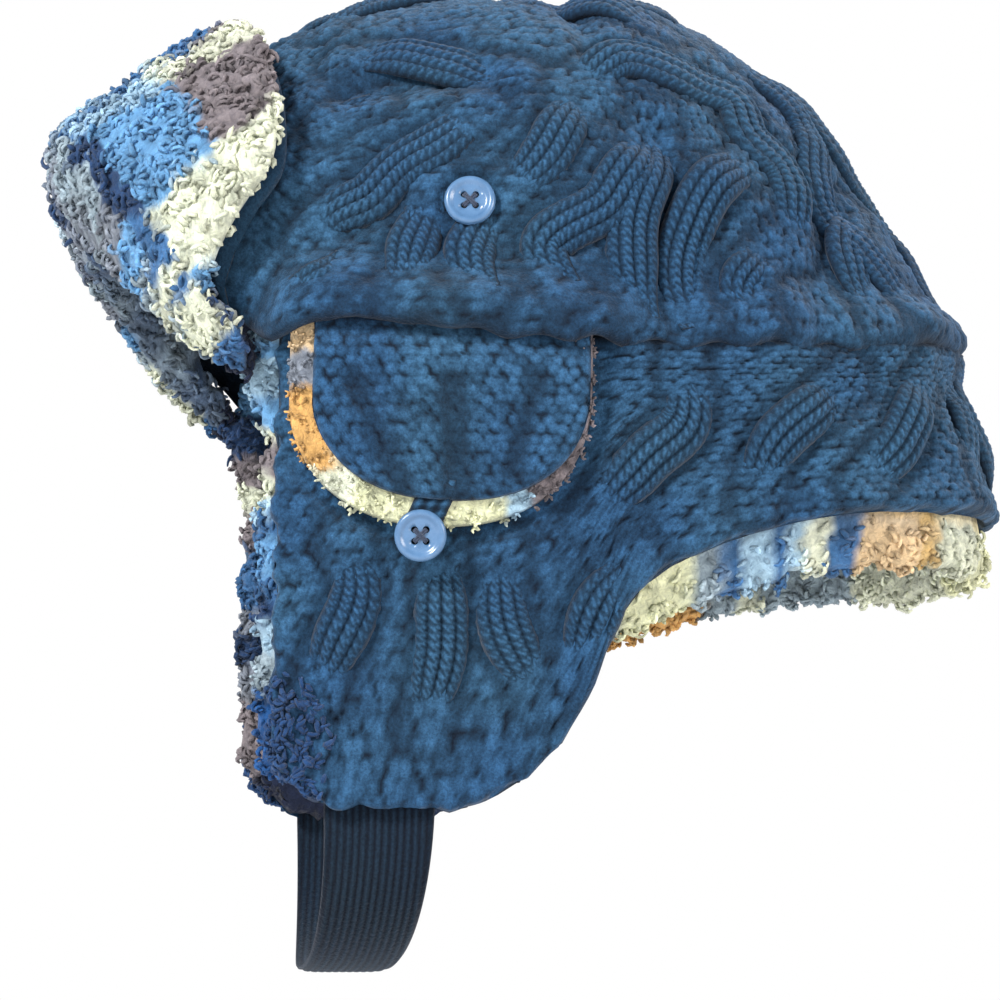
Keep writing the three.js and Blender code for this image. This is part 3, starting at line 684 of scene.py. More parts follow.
def band_grid(columns, rows, edge_reveal, hem_reveal, edge=0.35, top_ring=SEAM_RING + 0.01):
    """Angles and rings of the band, from the right ear flap's front edge round the back to the left one's."""
    rings = np.linspace(SEAM_RING - 0.2, LAST_RING, 60)
    start = np.full(60, math.pi / 2)
    front_y = FRONT_EDGE_Y - edge_reveal
    front = halve(start, start * 2, lambda angle: base_point(angle, rings)[..., 1] > front_y)
    share = spread(columns, 0.12) * 2 - 1

    def angle_at(ring):
        return share * np.interp(ring, rings, front)

    def above_hem(ring):
        point = base_point(angle_at(ring), ring)
        return point[..., 2] > hem_z(point[..., 1], edge_reveal, hem_reveal)

    low = np.full(columns, float(top_ring))
    hem = halve(low, np.full(columns, LAST_RING), above_hem)
    ring = top_ring + (hem - top_ring) * spread(rows, edge)[:, None]
    return np.broadcast_to(share, ring.shape) * np.interp(ring, rings, front), ring


def rim_of(grid):
    """Numbers around a grid: down its first column, along its last row, up its last column and back."""
    return np.concatenate([grid[:-1, 0], grid[-1, :-1], grid[:0:-1, -1], grid[0, :0:-1]])


def patch_shell(body, outer, inner, radius, outer_lift, inner_lift, outer_tint, inner_tint):
    """A closed soft sheet between an outer and an inner grid of angles and rings that share four edges.

    outer_lift and inner_lift give the lift of each grid's points, and the tints their colours. Returns, for
    each of the two sides, its points, their distance to the rim and their tints."""
    rim = np.concatenate([a.ravel()[rim_of(np.arange(a.size).reshape(a.shape))][None] for a in outer])
    line = base_point(rim[0], rim[1])
    line = np.vstack([line, line[:1]])
    grids, sides = [], []
    for (angle, ring), lift_of, tint_of, flip in (
        (outer, outer_lift, outer_tint, False),
        (inner, inner_lift, inner_tint, True),
    ):
        point = base_point(angle, ring)
        away = distance_to(point, line)
        away[0], away[-1], away[:, 0], away[:, -1] = 0, 0, 0, 0
        lift = lift_of(point, angle, ring, pillow(away, radius), away)
        tint = tint_of(point, angle, ring, away)
        points = lifted(angle, ring, lift)
        grid = body.add(points, tint)
        body.quads(grid, flip=flip)
        grids.append(grid)
        sides.append((points, away, tint))
    outer_grid, inner_grid = grids
    edges = (
        (outer_grid[:, 0], inner_grid[:, 0]),
        (outer_grid[-1], inner_grid[-1]),
        (outer_grid[::-1, -1], inner_grid[::-1, -1]),
        (outer_grid[0, ::-1], inner_grid[0, ::-1]),
    )
    for first, second in edges:
        body.zip(first, second)
    return sides


def layer(middle, half):
    """A lift for patch_shell: half away from the middle, and at the middle along the rim."""
    return lambda point, angle, ring, rounded, away: middle + half * rounded


def plain_tint(crest):
    """A tint for patch_shell: knit at one height of its stitches."""
    return lambda point, angle, ring, away: knit_tint(crest + 0 * away, point)


def band_bumps(angle, ring):
    arc = (ring - SEAM_RING) * BAND_RING_STEP
    return purl_bumps(angle * BAND_WALES / (2 * math.pi), arc / COURSE, 31)


def band_knit_shell():
    """The band's knit, and the blue fluff that works out past it at the ear flaps' front corners."""
    body = Body()
    outer = ragged(band_grid(450, 104, KNIT_EDGE_ROLL, 0), 0.6)
    inner = band_grid(90, 20, KNIT_EDGE_ROLL, 0)

    def outer_lift(point, angle, ring, rounded, away):
        flat = under_cover(point)
        top = soft_lift(angle, ring) + BUMP_HEIGHT * band_bumps(angle, ring) * (1 - flat)
        top = top - CREASE_DEPTH * beside_cables(point, "band")
        top += 1.8 * (1 - smooth(3, 11, away)) * (1 - flat)
        return -2 + (top + 2) * rounded

    def outer_tint(point, angle, ring, away):
        # Painted shade: the tint darkens beside the cables and towards the band's top, under the crown's hem.
        shade = (1 - 0.5 * beside_cables(point, "band")) * smooth(0.0, 0.25, ring - SEAM_RING)
        return knit_tint(band_bumps(angle, ring) * shade, point)

    sides = patch_shell(body, outer, inner, 2.6, outer_lift, layer(-2, -2), outer_tint, plain_tint(0.3))
    points = sides[0][0]
    fluff = 1 - smooth(0.6, 1.1, np.hypot((points[..., 1] + 108) / 13, (points[..., 2] + 132) / 22))
    blue = mix(np.broadcast_to(FLUFF_BLUE, points.shape), NAVY, 0.5 + 0.5 * noise(points, 6.0, 58))
    curls = Body()
    add_curls(curls, (points, fluff, blue), 560, 505, 4.6, 0.75, -1)
    return body, curls


# Cables

RIB_HEIGHT = 4.3
RIB_WIDTH = 16.5
RIB_ROWS_PER_COURSE = 3
RIB_WALES = 4
RIB_DEPTH = 1.3
RIB_END = 21.0
CREASE_DEPTH = 1.0


def add_rib(body, controls):
    """A raised cable along controls of angle and ring, whose ends sink into the ground."""
    line = curve_through(controls)
    angle, ring = line[:, 0], line[:, 1]
    path = lifted(angle, ring, soft_lift(angle, ring))
    steps = np.concatenate([[0], np.cumsum(np.linalg.norm(np.diff(path, axis=0), axis=-1))])
    count = max(8, int(steps[-1] / COURSE * RIB_ROWS_PER_COURSE))
    along = np.linspace(0, steps[-1], count)
    path = np.stack([np.interp(along, steps, path[:, k]) for k in range(3)], -1)
    for _ in range(6):
        path[1:-1] = 0.5 * path[1:-1] + 0.25 * (path[2:] + path[:-2])
    normal = base_normal(np.interp(along, steps, angle), np.interp(along, steps, ring))
    tangent = unit(np.gradient(path, axis=0))
    side = unit(np.cross(normal, tangent))
    normal = unit(np.cross(tangent, side))
    taper = smooth(0, RIB_END, along) * smooth(0, RIB_END, steps[-1] - along)
    across = np.linspace(-1, 1, RIB_WALES * 4 + 1)
    wale = (across + 1) / 2 * RIB_WALES
    within = np.abs((wale % 1) - 0.5) * 2
    lobes = 1 - 0.42 * within**3
    phase = along[:, None] / COURSE - 0.55 * (1 - within)
    stitches = 0.5 + 0.5 * np.cos(2 * math.pi * phase)
    crease = 0.35 * np.exp(-((within / 0.35) ** 2))
    envelope = np.clip(1 - across**2, 0, 1) ** 0.5
    rise = RIB_HEIGHT * envelope * lobes + (0.6 * stitches - crease) * envelope
    rise = rise * taper[:, None] - 0.9 * (1 - taper[:, None])
    half = RIB_WIDTH / 2 * (0.62 + 0.38 * taper)
    top = path[:, None] + side[:, None] * (half[:, None] * across)[..., None]
    top = top + normal[:, None] * rise[..., None]
    low_across = np.array([0.85, 0.0, -0.85])
    low = path[:, None] + side[:, None] * (half[:, None] * low_across)[..., None]
    low = low - normal[:, None] * RIB_DEPTH
    section = np.concatenate([top, low], axis=1)
    # Painted shade: the crest darkens between wales, towards the cable's sides and on its underside.
    crest = (0.3 + 0.7 * stitches) * (1 - 0.7 * within**4) * (0.4 + 0.6 * envelope)
    crest = np.concatenate([crest, np.zeros((count, 3))], axis=1)
    body.tubes(section[None], knit_tint(crest, section)[None])


# Paths of the cables in the photograph's pixels, on the side that it shows
CROWN_CABLES = (
    ((345, 62), (420, 60), (515, 78)),
    ((310, 245), (330, 215), (370, 195), (400, 165), (440, 145), (482, 112)),
    ((405, 298), (412, 250), (424, 215), (436, 188)),
    ((500, 196), (540, 165), (570, 115), (597, 98)),
    ((482, 296), (470, 250), (502, 200)),
    ((562, 290), (545, 245), (600, 210), (618, 185), (652, 128)),
    ((640, 322), (631, 260), (634, 210), (650, 165), (655, 118)),
    ((692, 328), (682, 262), (707, 190), (752, 165)),
    ((566, 86), (615, 62), (670, 76), (728, 104), (745, 140), (781, 178), (800, 250)),
    ((752, 322), (740, 285), (776, 245)),
    ((868, 316), (846, 250), (852, 205)),
    ((330, 130), (350, 112), (372, 105)),
    ((300, 300), (330, 285), (352, 262)),
)
BAND_CABLES = (
    ((440, 545), (441, 600), (440, 655), (424, 728)),
    ((500, 548), (504, 625), (541, 700)),
    ((348, 540), (356, 600), (318, 695)),
    ((682, 362), (686, 420), (645, 460), (590, 520)),
    ((640, 560), (600, 600), (575, 680)),
    ((850, 380), (778, 438), (756, 500)),
    ((925, 372), (900, 438), (858, 488)),
)
# Cables that the photograph doesn't show, as angles in degrees and rings
HIDDEN_CROWN_CABLES = (
    ((18, 5.8), (12, 4.6), (22, 3.4), (16, 2.0)),
    ((38, 5.7), (44, 4.4), (34, 3.2), (40, 2.2)),
    ((0, 5.8), (3, 4.8), (-4, 3.6), (0, 2.4)),
    ((150, 2.5), (154, 1.8), (140, 1.0)),
    ((168, 2.6), (172, 1.9), (165, 1.1)),
    ((60, 1.9), (80, 1.3), (110, 1.0)),
    ((10, 1.5), (50, 0.9), (120, 0.75)),
)
HIDDEN_BAND_CABLES = (
    ((16, 6.3), (22, 7.4), (14, 8.6)),
    ((0, 6.3), (2, 7.4), (0, 8.6)),
    ((33, 6.3), (28, 7.2), (34, 8.4)),
)


CABLES = {"crown": (CROWN_CABLES, HIDDEN_CROWN_CABLES), "band": (BAND_CABLES, HIDDEN_BAND_CABLES)}
MIDDLE_REACH = math.radians(5)


def cable_paths(part):
    """Controls of angle and ring for each cable of the crown or band, on both sides of the hat."""
    traces, hidden = CABLES[part]
    found = []
    for trace in traces:
        controls = np.stack(traced(trace), -1)
        found += [controls, controls * (-1, 1)]
    for path in hidden:
        controls = np.array(path, float) * (math.pi / 180, 1)
        found.append(controls)
        if controls[:, 0].max() > MIDDLE_REACH:
            found.append(controls * (-1, 1))
    return found


@cache
def cable_tree(part):
    lines = [curve_through(controls, 60) for controls in cable_paths(part)]
    places = np.concatenate([base_point(line[:, 0], line[:, 1]) for line in lines])
    tree = kdtree.KDTree(len(places))
    for number, place in enumerate(places):
        tree.insert(place, number)
    tree.balance()
    return tree


def beside_cables(point, part):
    """1 along both edges of a cable, where the ground sinks, and 0 a few millimetres off. The knit's tints
    also darken by it, as painted shadow beside the cables.
    """
    tree = cable_tree(part)
    away = np.array([tree.find(place)[2] for place in point.reshape(-1, 3)]).reshape(point.shape[:-1])
    return np.exp(-(((away - RIB_WIDTH / 2 - 0.5) / 2.6) ** 2))


def cable_body(part):
    body = Body()
    for controls in cable_paths(part):
        add_rib(body, controls)
    return body


# Fleece


def mix(first, second, share):
    return first + (second - first) * np.asarray(share)[..., None]


def linear(red, green, blue):
    """A colour given as 0 to 255 screen values, as scene-linear numbers."""
    values = np.array((red, green, blue)) / 255
    return np.where(values < 0.04045, values / 12.92, ((values + 0.055) / 1.055) ** 2.4)


CREAM = linear(214, 218, 196)
PALE_YELLOW = linear(219, 221, 184)
ICE = linear(160, 192, 214)
SKY = linear(98, 148, 192)
DENIM = linear(62, 104, 150)
NAVY = linear(38, 62, 98)
MIDNIGHT = linear(26, 34, 56)
SLATE = linear(127, 134, 146)
STEEL = linear(148, 165, 176)
BROWN = linear(122, 114, 118)
TAN = linear(208, 176, 120)
ORANGE = linear(206, 160, 98)
PEACH = linear(218, 190, 150)
BRIGHT = linear(34, 82, 140)
FLUFF_BLUE = linear(26, 60, 104)


def banded(place, table, softness=1.2):
    """Colours of a table of rows (start, colour), which blend over a few millimetres at each start."""
    colour = np.broadcast_to(table[0][1], np.shape(place) + (3,)).copy()
    for start, tone in table[1:]:
        colour = mix(colour, np.asarray(tone), smooth(start - softness, start + softness, place))
    return colour


# Bands of the lining's edge: by Z down the ear flap's front, by Y along the neck hem, on each side
NEAR_FRONT_BANDS = (
    (-170, MIDNIGHT), (-152, NAVY), (-141, BRIGHT), (-114, STEEL), (-104, ICE), (-95, NAVY), (-89, DENIM),
    (-82, SKY), (-70, DENIM), (-64, ICE), (-58, CREAM), (-51, BROWN), (-41, CREAM), (-36, SKY),
    (-28, ICE), (-18, SKY), (-12, ICE),
)
FAR_FRONT_BANDS = (
    (-170, MIDNIGHT), (-136, BROWN), (-112, SLATE), (-98, NAVY), (-90, SLATE), (-80, DENIM), (-62, BROWN),
    (-48, CREAM), (-40, BROWN), (-30, NAVY), (-16, SKY),
)
NEAR_HEM_BANDS = (
    (-40, NAVY), (-12, PALE_YELLOW), (12, STEEL), (22, DENIM), (28, ICE), (38, DENIM), (42, ICE), (47, CREAM),
    (55, DENIM), (66, PEACH), (88, TAN), (94, CREAM), (112, PALE_YELLOW),
)
FAR_HEM_BANDS = ((-60, NAVY), (6, ORANGE), (45, STEEL), (57, CREAM), (64, STEEL), (100, CREAM))
# Bands by Z above the neck hem, inside the hat
HIGH_BANDS = ((-200, STEEL), (-62, TAN), (-44, CREAM), (-20, STEEL), (0, NAVY), (14, CREAM), (40, SKY))


def lining_colour(point):
    """Plaid of the band's lining: bands down the ear flaps' front, bands along the neck hem."""
    wobble = 2.2 * noise(point, 9.0, 41) + 1.6 * noise(point, 3.5, 42)
    z, y = point[..., 2] + wobble, point[..., 1] + wobble
    near = (point[..., 0] > 0)[..., None]
    front = np.where(near, banded(z, NEAR_FRONT_BANDS), banded(z, FAR_FRONT_BANDS))
    hem = np.where(near, banded(y, NEAR_HEM_BANDS), banded(y, FAR_HEM_BANDS))
    high = banded(z, HIGH_BANDS)
    hem = mix(hem, high, 0.75 * smooth(-70, -50, z))
    return mix(front, hem, smooth(-62, -34, y))


def pile(point, seed, size=4.4):
    """Height from 0 to 1 of a curly pile."""
    curl = clumps(point + 1.3 * noise(point, 5.0, seed)[..., None], size, seed)
    return np.clip(0.75 * curl + 0.25 * (0.5 + 0.5 * noise(point, 1.9, seed + 3)), 0, 1)


def fleece_tint(colour, height, point, seed):
    """A fleece colour, with painted shade between its curls, and mottled from curl to curl."""
    mottle = 1 + 0.3 * noise(point, 2.6, seed + 7) + 0.16 * noise(point, 8.0, seed + 8)
    return colour * ((0.38 + 0.66 * height) * mottle)[..., None]


CURL_STEPS = 5
CURL_SIDES = 4
CURL_SCATTER = 0.6


def add_curls(body, side, number, seed, length=6.0, radius=0.85, outwards=1):
    """Bent tufts of pile on a grid of points, weights and tints, spread by area and weight."""
    points, weight, tints = side
    rng = np.random.default_rng(seed)
    facing = np.cross(np.gradient(points, axis=0), np.gradient(points, axis=1))
    normals = outwards * unit(facing)
    chance = (weight * np.linalg.norm(facing, axis=-1)).ravel()
    chosen = rng.choice(chance.size, size=number, p=chance / chance.sum())
    root, normal, colour = (values.reshape(-1, 3)[chosen] for values in (points, normals, tints))
    root = root + rng.normal(0, CURL_SCATTER, root.shape)
    across = unit(np.cross(normal, rng.normal(size=(number, 3))))
    forward = np.cross(across, normal)
    bend = rng.uniform(2.2, 4.8, (number, 1))
    reach = length * rng.uniform(0.7, 1.2, (number, 1)) / bend
    share = np.linspace(0, 1, CURL_STEPS)
    turn = bend * share
    up, on = (reach * np.sin(turn))[..., None], (reach * (1 - np.cos(turn)))[..., None]
    path = (root - 0.7 * normal)[:, None] + up * normal[:, None] + on * forward[:, None]
    tangent = np.cos(turn)[..., None] * normal[:, None] + np.sin(turn)[..., None] * forward[:, None]
    over = np.cross(tangent, across[:, None])
    round_about = np.arange(CURL_SIDES) * 2 * math.pi / CURL_SIDES
    wheel = np.cos(round_about)[:, None] * across[:, None, None]
    wheel = wheel + np.sin(round_about)[:, None] * over[:, :, None]
    thick = radius * rng.uniform(0.75, 1.25, (number, 1)) * (1 - 0.55 * share**2)
    tubes = path[:, :, None] + thick[..., None, None] * wheel
    # Painted shade: each curl is darker at its root, and the rest of its tone is random.
    tone = rng.uniform(0.9, 1.35, (number, 1)) * (0.72 + 0.4 * share)
    body.tubes(tubes, tone[..., None, None] * colour[:, None, None] + np.zeros((1, 1, CURL_SIDES, 1)))


def ragged(grid, amount=1.0, bulge=0.0):
    """A grid of angles and rings whose front and lower edges go in and out with the curls of the pile.

    bulge pushes the front edge forwards beside the front flap's foot."""
    angle, ring = grid
    point = base_point(angle, ring)
    wave = amount * (0.035 * noise(point, 5.0 / amount**0.7, 57) + 0.02 * noise(point, 2.6 / amount**0.7, 58))
    across = np.linspace(-1, 1, angle.shape[1])
    wave = wave + bulge * np.exp(-(((point[..., 2] + 24) / 11) ** 2))
    at_front = smooth(0.9, 1, np.abs(across))[None, :] * np.sign(across)
    at_hem = smooth(0.85, 1, np.linspace(0, 1, angle.shape[0]))[:, None]
    return angle + wave * at_front, ring + 1.6 * wave * at_hem


def band_lining_bodies():
    """The lining's shell, and the curls that stand on the part of it that shows."""
    body, curls = Body(), Body()
    inner = ragged(band_grid(300, 80, EDGE_REVEAL, HEM_REVEAL), bulge=0.055)
    outer = ragged(band_grid(210, 52, EDGE_REVEAL, HEM_REVEAL), bulge=0.055)
    middle = (LINING_TOP + LINING_FLOOR) / 2
    half = LINING_THICKNESS / 2

    def outer_lift(point, angle, ring, rounded, away):
        shown = 1 - smooth(9, 14, away)
        return middle + (half - 1.6 * shown + 2.6 * shown * pile(point, 51)) * rounded

    def inner_lift(point, angle, ring, rounded, away):
        return middle - (half - 1.4 + 2.6 * pile(point, 52)) * rounded

    def tint(point, angle, ring, away):
        return fleece_tint(lining_colour(point), pile(point, 52), point, 55)

    sides = patch_shell(body, outer, inner, 4.2, outer_lift, inner_lift, tint, tint)
    for side, number, seed, turned, reach in ((0, 1300, 501, -1, 12), (1, 2300, 502, 1, 24)):
        points, away, tints = sides[side]
        y, z = points[..., 1], points[..., 2]
        shown = (z < seam_z(y) - 4) * ((y < FRONT_EDGE_Y + 3) + (z < hem_z(y, 0, 0) + 2) * (y > -14) > 0)
        if turned > 0:
            shown = shown + (z < seam_z(y) - 30) * (y > 0) > 0
        add_curls(curls, (points, (away < reach) * shown, tints), number, seed, 4.6, 0.85, turned)
    return body, curls


def crown_lining_shell():
    """The crown's lining, with painted shadow along its edge, where the knit hangs over it."""
    body = Body()
    loops = []
    for columns, rows, side in ((220, 60, -1), (110, 24, 1)):
        angle, ring, _ = crown_rows(columns, np.concatenate([np.linspace(0.03, 0.99, rows), [1.0]]))
        point = base_point(angle, ring)
        middle, half = (LINING_TOP + LINING_FLOOR) / 2, LINING_THICKNESS / 2
        height = pile(point, 61)
        amount = half if side > 0 else half - 1.4 + 2.6 * height
        # Painted shadow: the last rows turn midnight, where the knit hangs over them.
        hem_shadow_rows = np.linspace(0, 1, rows + 1)[:, None] > 0.9
        shade = fleece_tint(mix(crown_plaid(point), MIDNIGHT, hem_shadow_rows), height, point, 62)
        grid = body.add(lifted(angle, ring, middle + side * amount), shade)
        body.quads(grid, closed=True, flip=side < 0)
        pole = body.add(apex(middle + side * half), CREAM)
        body.fan(pole[0], grid[0], flip=side < 0)
        loops.append(np.append(grid[-1], grid[-1][0]))
    body.zip(loops[1], loops[0])
    return body


def crown_plaid(point):
    """Large soft squares of the crown's lining."""
    wobble = 2.5 * noise(point, 9.0, 63)
    across = np.mod(point[..., 1] + wobble + 300, 92)
    above = np.mod(point[..., 2] + wobble + 300, 84)
    warp = banded(across, ((0, CREAM), (26, SKY), (34, CREAM), (46, STEEL), (76, NAVY), (84, STEEL)))
    weft = banded(above, ((0, STEEL), (24, TAN), (50, CREAM), (60, NAVY), (68, CREAM)))
    return 0.5 * warp + 0.5 * weft


# Front flap

# Its edges in the side view, as Y and Z: the fold from the middle of the brow to its foot at the ear flap,
# the same on its inner side, the side from the foot up to the top corner, and the top from the middle on
FLAP_FOLD = ((-184, 57), (-173, 40), (-157, 18), (-144, 1), (-133, -10), (-120.5, -21))
INNER_FOLD = ((-184, 42), (-173, 34), (-157, 16), (-144, 1), (-133, -10), (-120.5, -21))
FLAP_SIDE = (
    (-120.5, -21), (-121.5, -12), (-129, -5.5), (-132, 3), (-130, 13), (-123, 27), (-114, 41), (-112, 58),
    (-114, 73),
)
FLAP_TOP = ((-124, 97), (-119, 92), (-115.5, 84), (-114, 73))


@cache
def flap_edge(points, lift):
    """Angle, ring and length so far along one edge of the flap, at a lift of the surface."""
    side = curve_through(points, 90)
    angle, ring = locate(side[:, 0], side[:, 1], lift)
    if points is not FLAP_SIDE:
        angle[0] = math.pi
    solid = point_at(angle, ring, lift)
    arc = np.concatenate([[0], np.cumsum(np.linalg.norm(np.diff(solid, axis=0), axis=-1))])
    return angle, ring, arc


def along_edge(points, lift, share):
    angle, ring, arc = flap_edge(points, lift)
    at = np.asarray(share) * arc[-1]
    return np.stack([np.interp(at, arc, angle), np.interp(at, arc, ring)], -1)


def flap_patch(half_columns, up):
    """Angles and rings of the flap's face: rows at shares up from its fold, columns from ear to ear."""
    across = np.linspace(0, 1, half_columns)
    c, r = across[None, :, None], np.asarray(up)[:, None, None]
    fold, top = (along_edge(edge, FLAP_FACE_TOP, across)[None] for edge in (FLAP_FOLD, FLAP_TOP))
    side = along_edge(FLAP_SIDE, FLAP_FACE_TOP, up)[:, None]
    middle = fold[:, :1] + (top[:, :1] - fold[:, :1]) * r
    corners = (1 - c) * middle + c * (fold[:, -1:] + (top[:, -1:] - fold[:, -1:]) * r)
    place = (1 - r) * fold + r * top + (1 - c) * middle + c * side - corners
    angle, ring = place[..., 0], place[..., 1]
    angle = np.concatenate([2 * math.pi - angle[:, :0:-1], angle], axis=1)
    return angle, np.concatenate([ring[:, :0:-1], ring], axis=1)


@cache
def flap_skew(half_columns, up):
    """Change of angle and ring for each millimetre inwards, from an edge of the face to its inner side."""
    across, up = np.linspace(0, 1, half_columns), np.array(up)
    at_fold = along_edge(INNER_FOLD, LINING_FLOOR, across) - along_edge(FLAP_FOLD, FLAP_FACE_TOP, across)
    at_fold = at_fold[None] / (FLAP_FACE_TOP - LINING_FLOOR) * ((1 - up) ** 2)[:, None, None]
    at_side = along_edge(FLAP_SIDE, FLAP_FACE_LOW, up) - along_edge(FLAP_SIDE, FLAP_FACE_TOP, up)
    at_side = at_side[:, None] / (FLAP_FACE_TOP - FLAP_FACE_LOW)
    return at_fold + (at_side - at_fold[:, -1:]) * (across**4)[None, :, None]


def flap_points(half_columns, up, lift):
    """Points of the flap at a lift for each row and column."""
    angle, ring = flap_patch(half_columns, up)
    skew = flap_skew(half_columns, tuple(up))
    inward = FLAP_FACE_TOP - lift
    angle = angle + inward * np.concatenate([-skew[:, :0:-1, 0], skew[..., 0]], axis=1)
    ring = ring + inward * np.concatenate([skew[:, :0:-1, 1], skew[..., 1]], axis=1)
    return lifted(angle, ring, lift)


FLAP_CORNER = (95, 142)
# The flap's plaid, row of squares by row of squares up from the fold: where each colour starts, in pixels
# back towards the ear
FLAP_LOW_BANDS = (
    (-300, DENIM), (-25, STEEL), (50, SLATE), (82, SKY), (118, STEEL), (142, CREAM), (176, STEEL),
    (186, CREAM),
)
FLAP_DARK_BANDS = (
    (-300, DENIM), (-8, NAVY), (84, DENIM), (140, CREAM), (158, DENIM), (172, CREAM), (228, DENIM),
)
FLAP_SQUARES = ((-300, DENIM), (-10, SKY), (85, CREAM), (166, SKY), (185, NAVY))
FLAP_HIGH_BANDS = ((-300, DENIM), (-6, BROWN), (88, CREAM), (170, TAN))


def flap_colour(point):
    """Plaid of the flap in the photograph's pixels: a runs up from the fold, b back towards the ear."""
    column, row = picture_place(np.stack([np.abs(point[..., 0]), point[..., 1], point[..., 2]], -1))
    column, row = column - FLAP_CORNER[0], row - FLAP_CORNER[1]
    a = column * 0.8 - row * 0.6 + 7 * noise(point, 8.0, 71) + 6 * noise(point, 3.0, 72)
    b = column * 0.65 + row * 0.76 + 7 * noise(point, 8.0, 73) + 6 * noise(point, 3.0, 74)
    # Below the fold the colour runs to slate, navy and midnight: partly the plaid's dark band, partly painted
    # shade on the turn under the brow.
    colour = banded(a, ((-300, MIDNIGHT), (-62, NAVY), (-48, SLATE)), 5)
    colour = mix(colour, banded(b, FLAP_LOW_BANDS, 6), smooth(-46, -38, a))
    colour = mix(colour, banded(b, FLAP_DARK_BANDS, 5), smooth(-30, -24, a))
    colour = mix(colour, banded(b, FLAP_SQUARES, 5), smooth(-6, 1, a))
    colour = mix(colour, banded(b, FLAP_HIGH_BANDS, 5), smooth(94, 101, a))
    stripe = b - 0.16 * a
    pale = smooth(-28, -22, stripe) * (1 - smooth(-12, -6, stripe)) * smooth(-24, -12, a)
    return mix(colour, mix(ICE, CREAM, smooth(70, 95, a)), 0.85 * pale)


def flap_lining_bodies():
    """The fleece face of the flap with its thick turn under the brow, and the curls that stand on it."""
    half_columns, face_rows = 104, 86
    columns = 2 * half_columns - 1
    up = np.linspace(1, 0, face_rows) ** 1.15
    flat = flap_points(half_columns, up, np.full((face_rows, columns), FLAP_FACE_TOP))
    steps = np.linalg.norm(np.diff(flat, axis=0), axis=-1)
    v = np.vstack([np.cumsum(steps[::-1], axis=0)[::-1], np.zeros(columns)])
    row = flat[face_rows // 2]
    arc = np.concatenate([[0], np.cumsum(np.linalg.norm(np.diff(row, axis=0), axis=-1))])
    ends = pillow(np.minimum(arc, arc[-1] - arc), 8.0)
    turn_middle = (LINING_FLOOR + FLAP_FACE_TOP) / 2
    face_middle = (FLAP_FACE_LOW + FLAP_FACE_TOP) / 2

    def part(rows, v_rows, reach, toward):
        """Rows of the section, whose lifts reach outwards or inwards and round off at the fold and top."""
        base_lift = FLAP_FACE_TOP if toward > 0 else 0.0
        base = flap_points(half_columns, rows, np.full((len(rows), columns), base_lift))
        height = pile(base, 75, 4.6)
        at_fold = pillow(v_rows, 9.0)
        at_top = pillow(v[0] - v_rows, 6.0)
        near_fold = 1 - smooth(6, 26, v_rows)
        middle = near_fold * turn_middle + (1 - near_fold) * face_middle
        puff = (3.4 * height - 1.6) * toward
        lift = middle + (reach + puff - middle) * at_fold * at_top * (0.2 + 0.8 * ends)
        points = flap_points(half_columns, rows, lift)
        shade = flap_colour(base) if toward > 0 else mix(NAVY, STEEL, 0.5 + 0.5 * noise(base, 9.0, 77))
        # Painted shadow: the deep turn near the fold at each end goes to midnight.
        shade = mix(shade, MIDNIGHT, (1 - smooth(4, 9, lift)) * (ends < 1) * near_fold)
        return points, fleece_tint(shade, height, base, 76)

    brow = 0.24
    under = np.linspace(0, brow, 22)[1:]
    behind = np.linspace(brow + 0.02, 1, 14)[:-1]
    parts = (
        part(up, v, FLAP_FACE_TOP, 1),
        part(under, v[0] * under[:, None], LINING_FLOOR, -1),
        part(behind, v[0] * behind[:, None], FLAP_FACE_LOW, -1),
    )
    body, curls = Body(), Body()
    loop = np.concatenate([points for points, _ in parts])
    tints = np.concatenate([tint for _, tint in parts])
    grid = body.add(loop, tints)
    body.quads(np.vstack([grid, grid[:1]]))
    at_brow = int(np.argmin(np.abs(up - brow)))
    low_row = face_rows + len(under)
    for end in (grid[:, 0], grid[:, -1]):
        body.zip(end[: at_brow + 1], np.append(end[:low_row - 1:-1], end[low_row - 1]))
        body.zip(end[at_brow:face_rows], end[low_row - 1:face_rows - 1:-1])
    shown = np.arange(len(loop))[:, None] < face_rows + len(under) - 4
    add_curls(curls, (loop, shown, tints), 4200, 503, 5.4, 0.88)
    return body, curls


def flap_knit_shell():
    body = Body()
    outer = flap_patch(60, 0.2 + 0.77 * spread(24, 0.3))
    inner = flap_patch(30, 0.2 + 0.77 * spread(8, 0.3))
    middle, half = (FLAP_STANDOFF + FLAP_KNIT_TOP) / 2, KNIT_THICKNESS / 2
    tint = plain_tint(0.4)
    patch_shell(body, outer, inner, 2.5, layer(middle, half), layer(middle, -half), tint, tint)
    return body


def flap_cut():
    """Width from ear to ear, height and area of the flap's face when it lies flat."""
    points = flap_points(60, np.linspace(0, 1, 40), np.full((40, 119), FLAP_FACE_TOP))
    down, along = np.diff(points, axis=0), np.diff(points, axis=1)
    cells = np.linalg.norm(np.cross(down[:, :-1], along[:-1]), axis=-1)
    width = np.linalg.norm(along, axis=-1).sum(axis=1).max()
    height = np.linalg.norm(down, axis=-1).sum(axis=0).max()
    return width, height, cells.sum()


# Ear covers

# Soft valleys between the lobes of a cover's knit, as in FOLDS
COVER_FOLDS = (
    (-60, -26, -58, -62, 3.2, 4),
    (-36, -24, -43, -52, 2.0, 3.5),
    (-88, -24, -74, -56, 1.8, 4),
    (-76, -30, -66, -36, 1.2, 3),
)


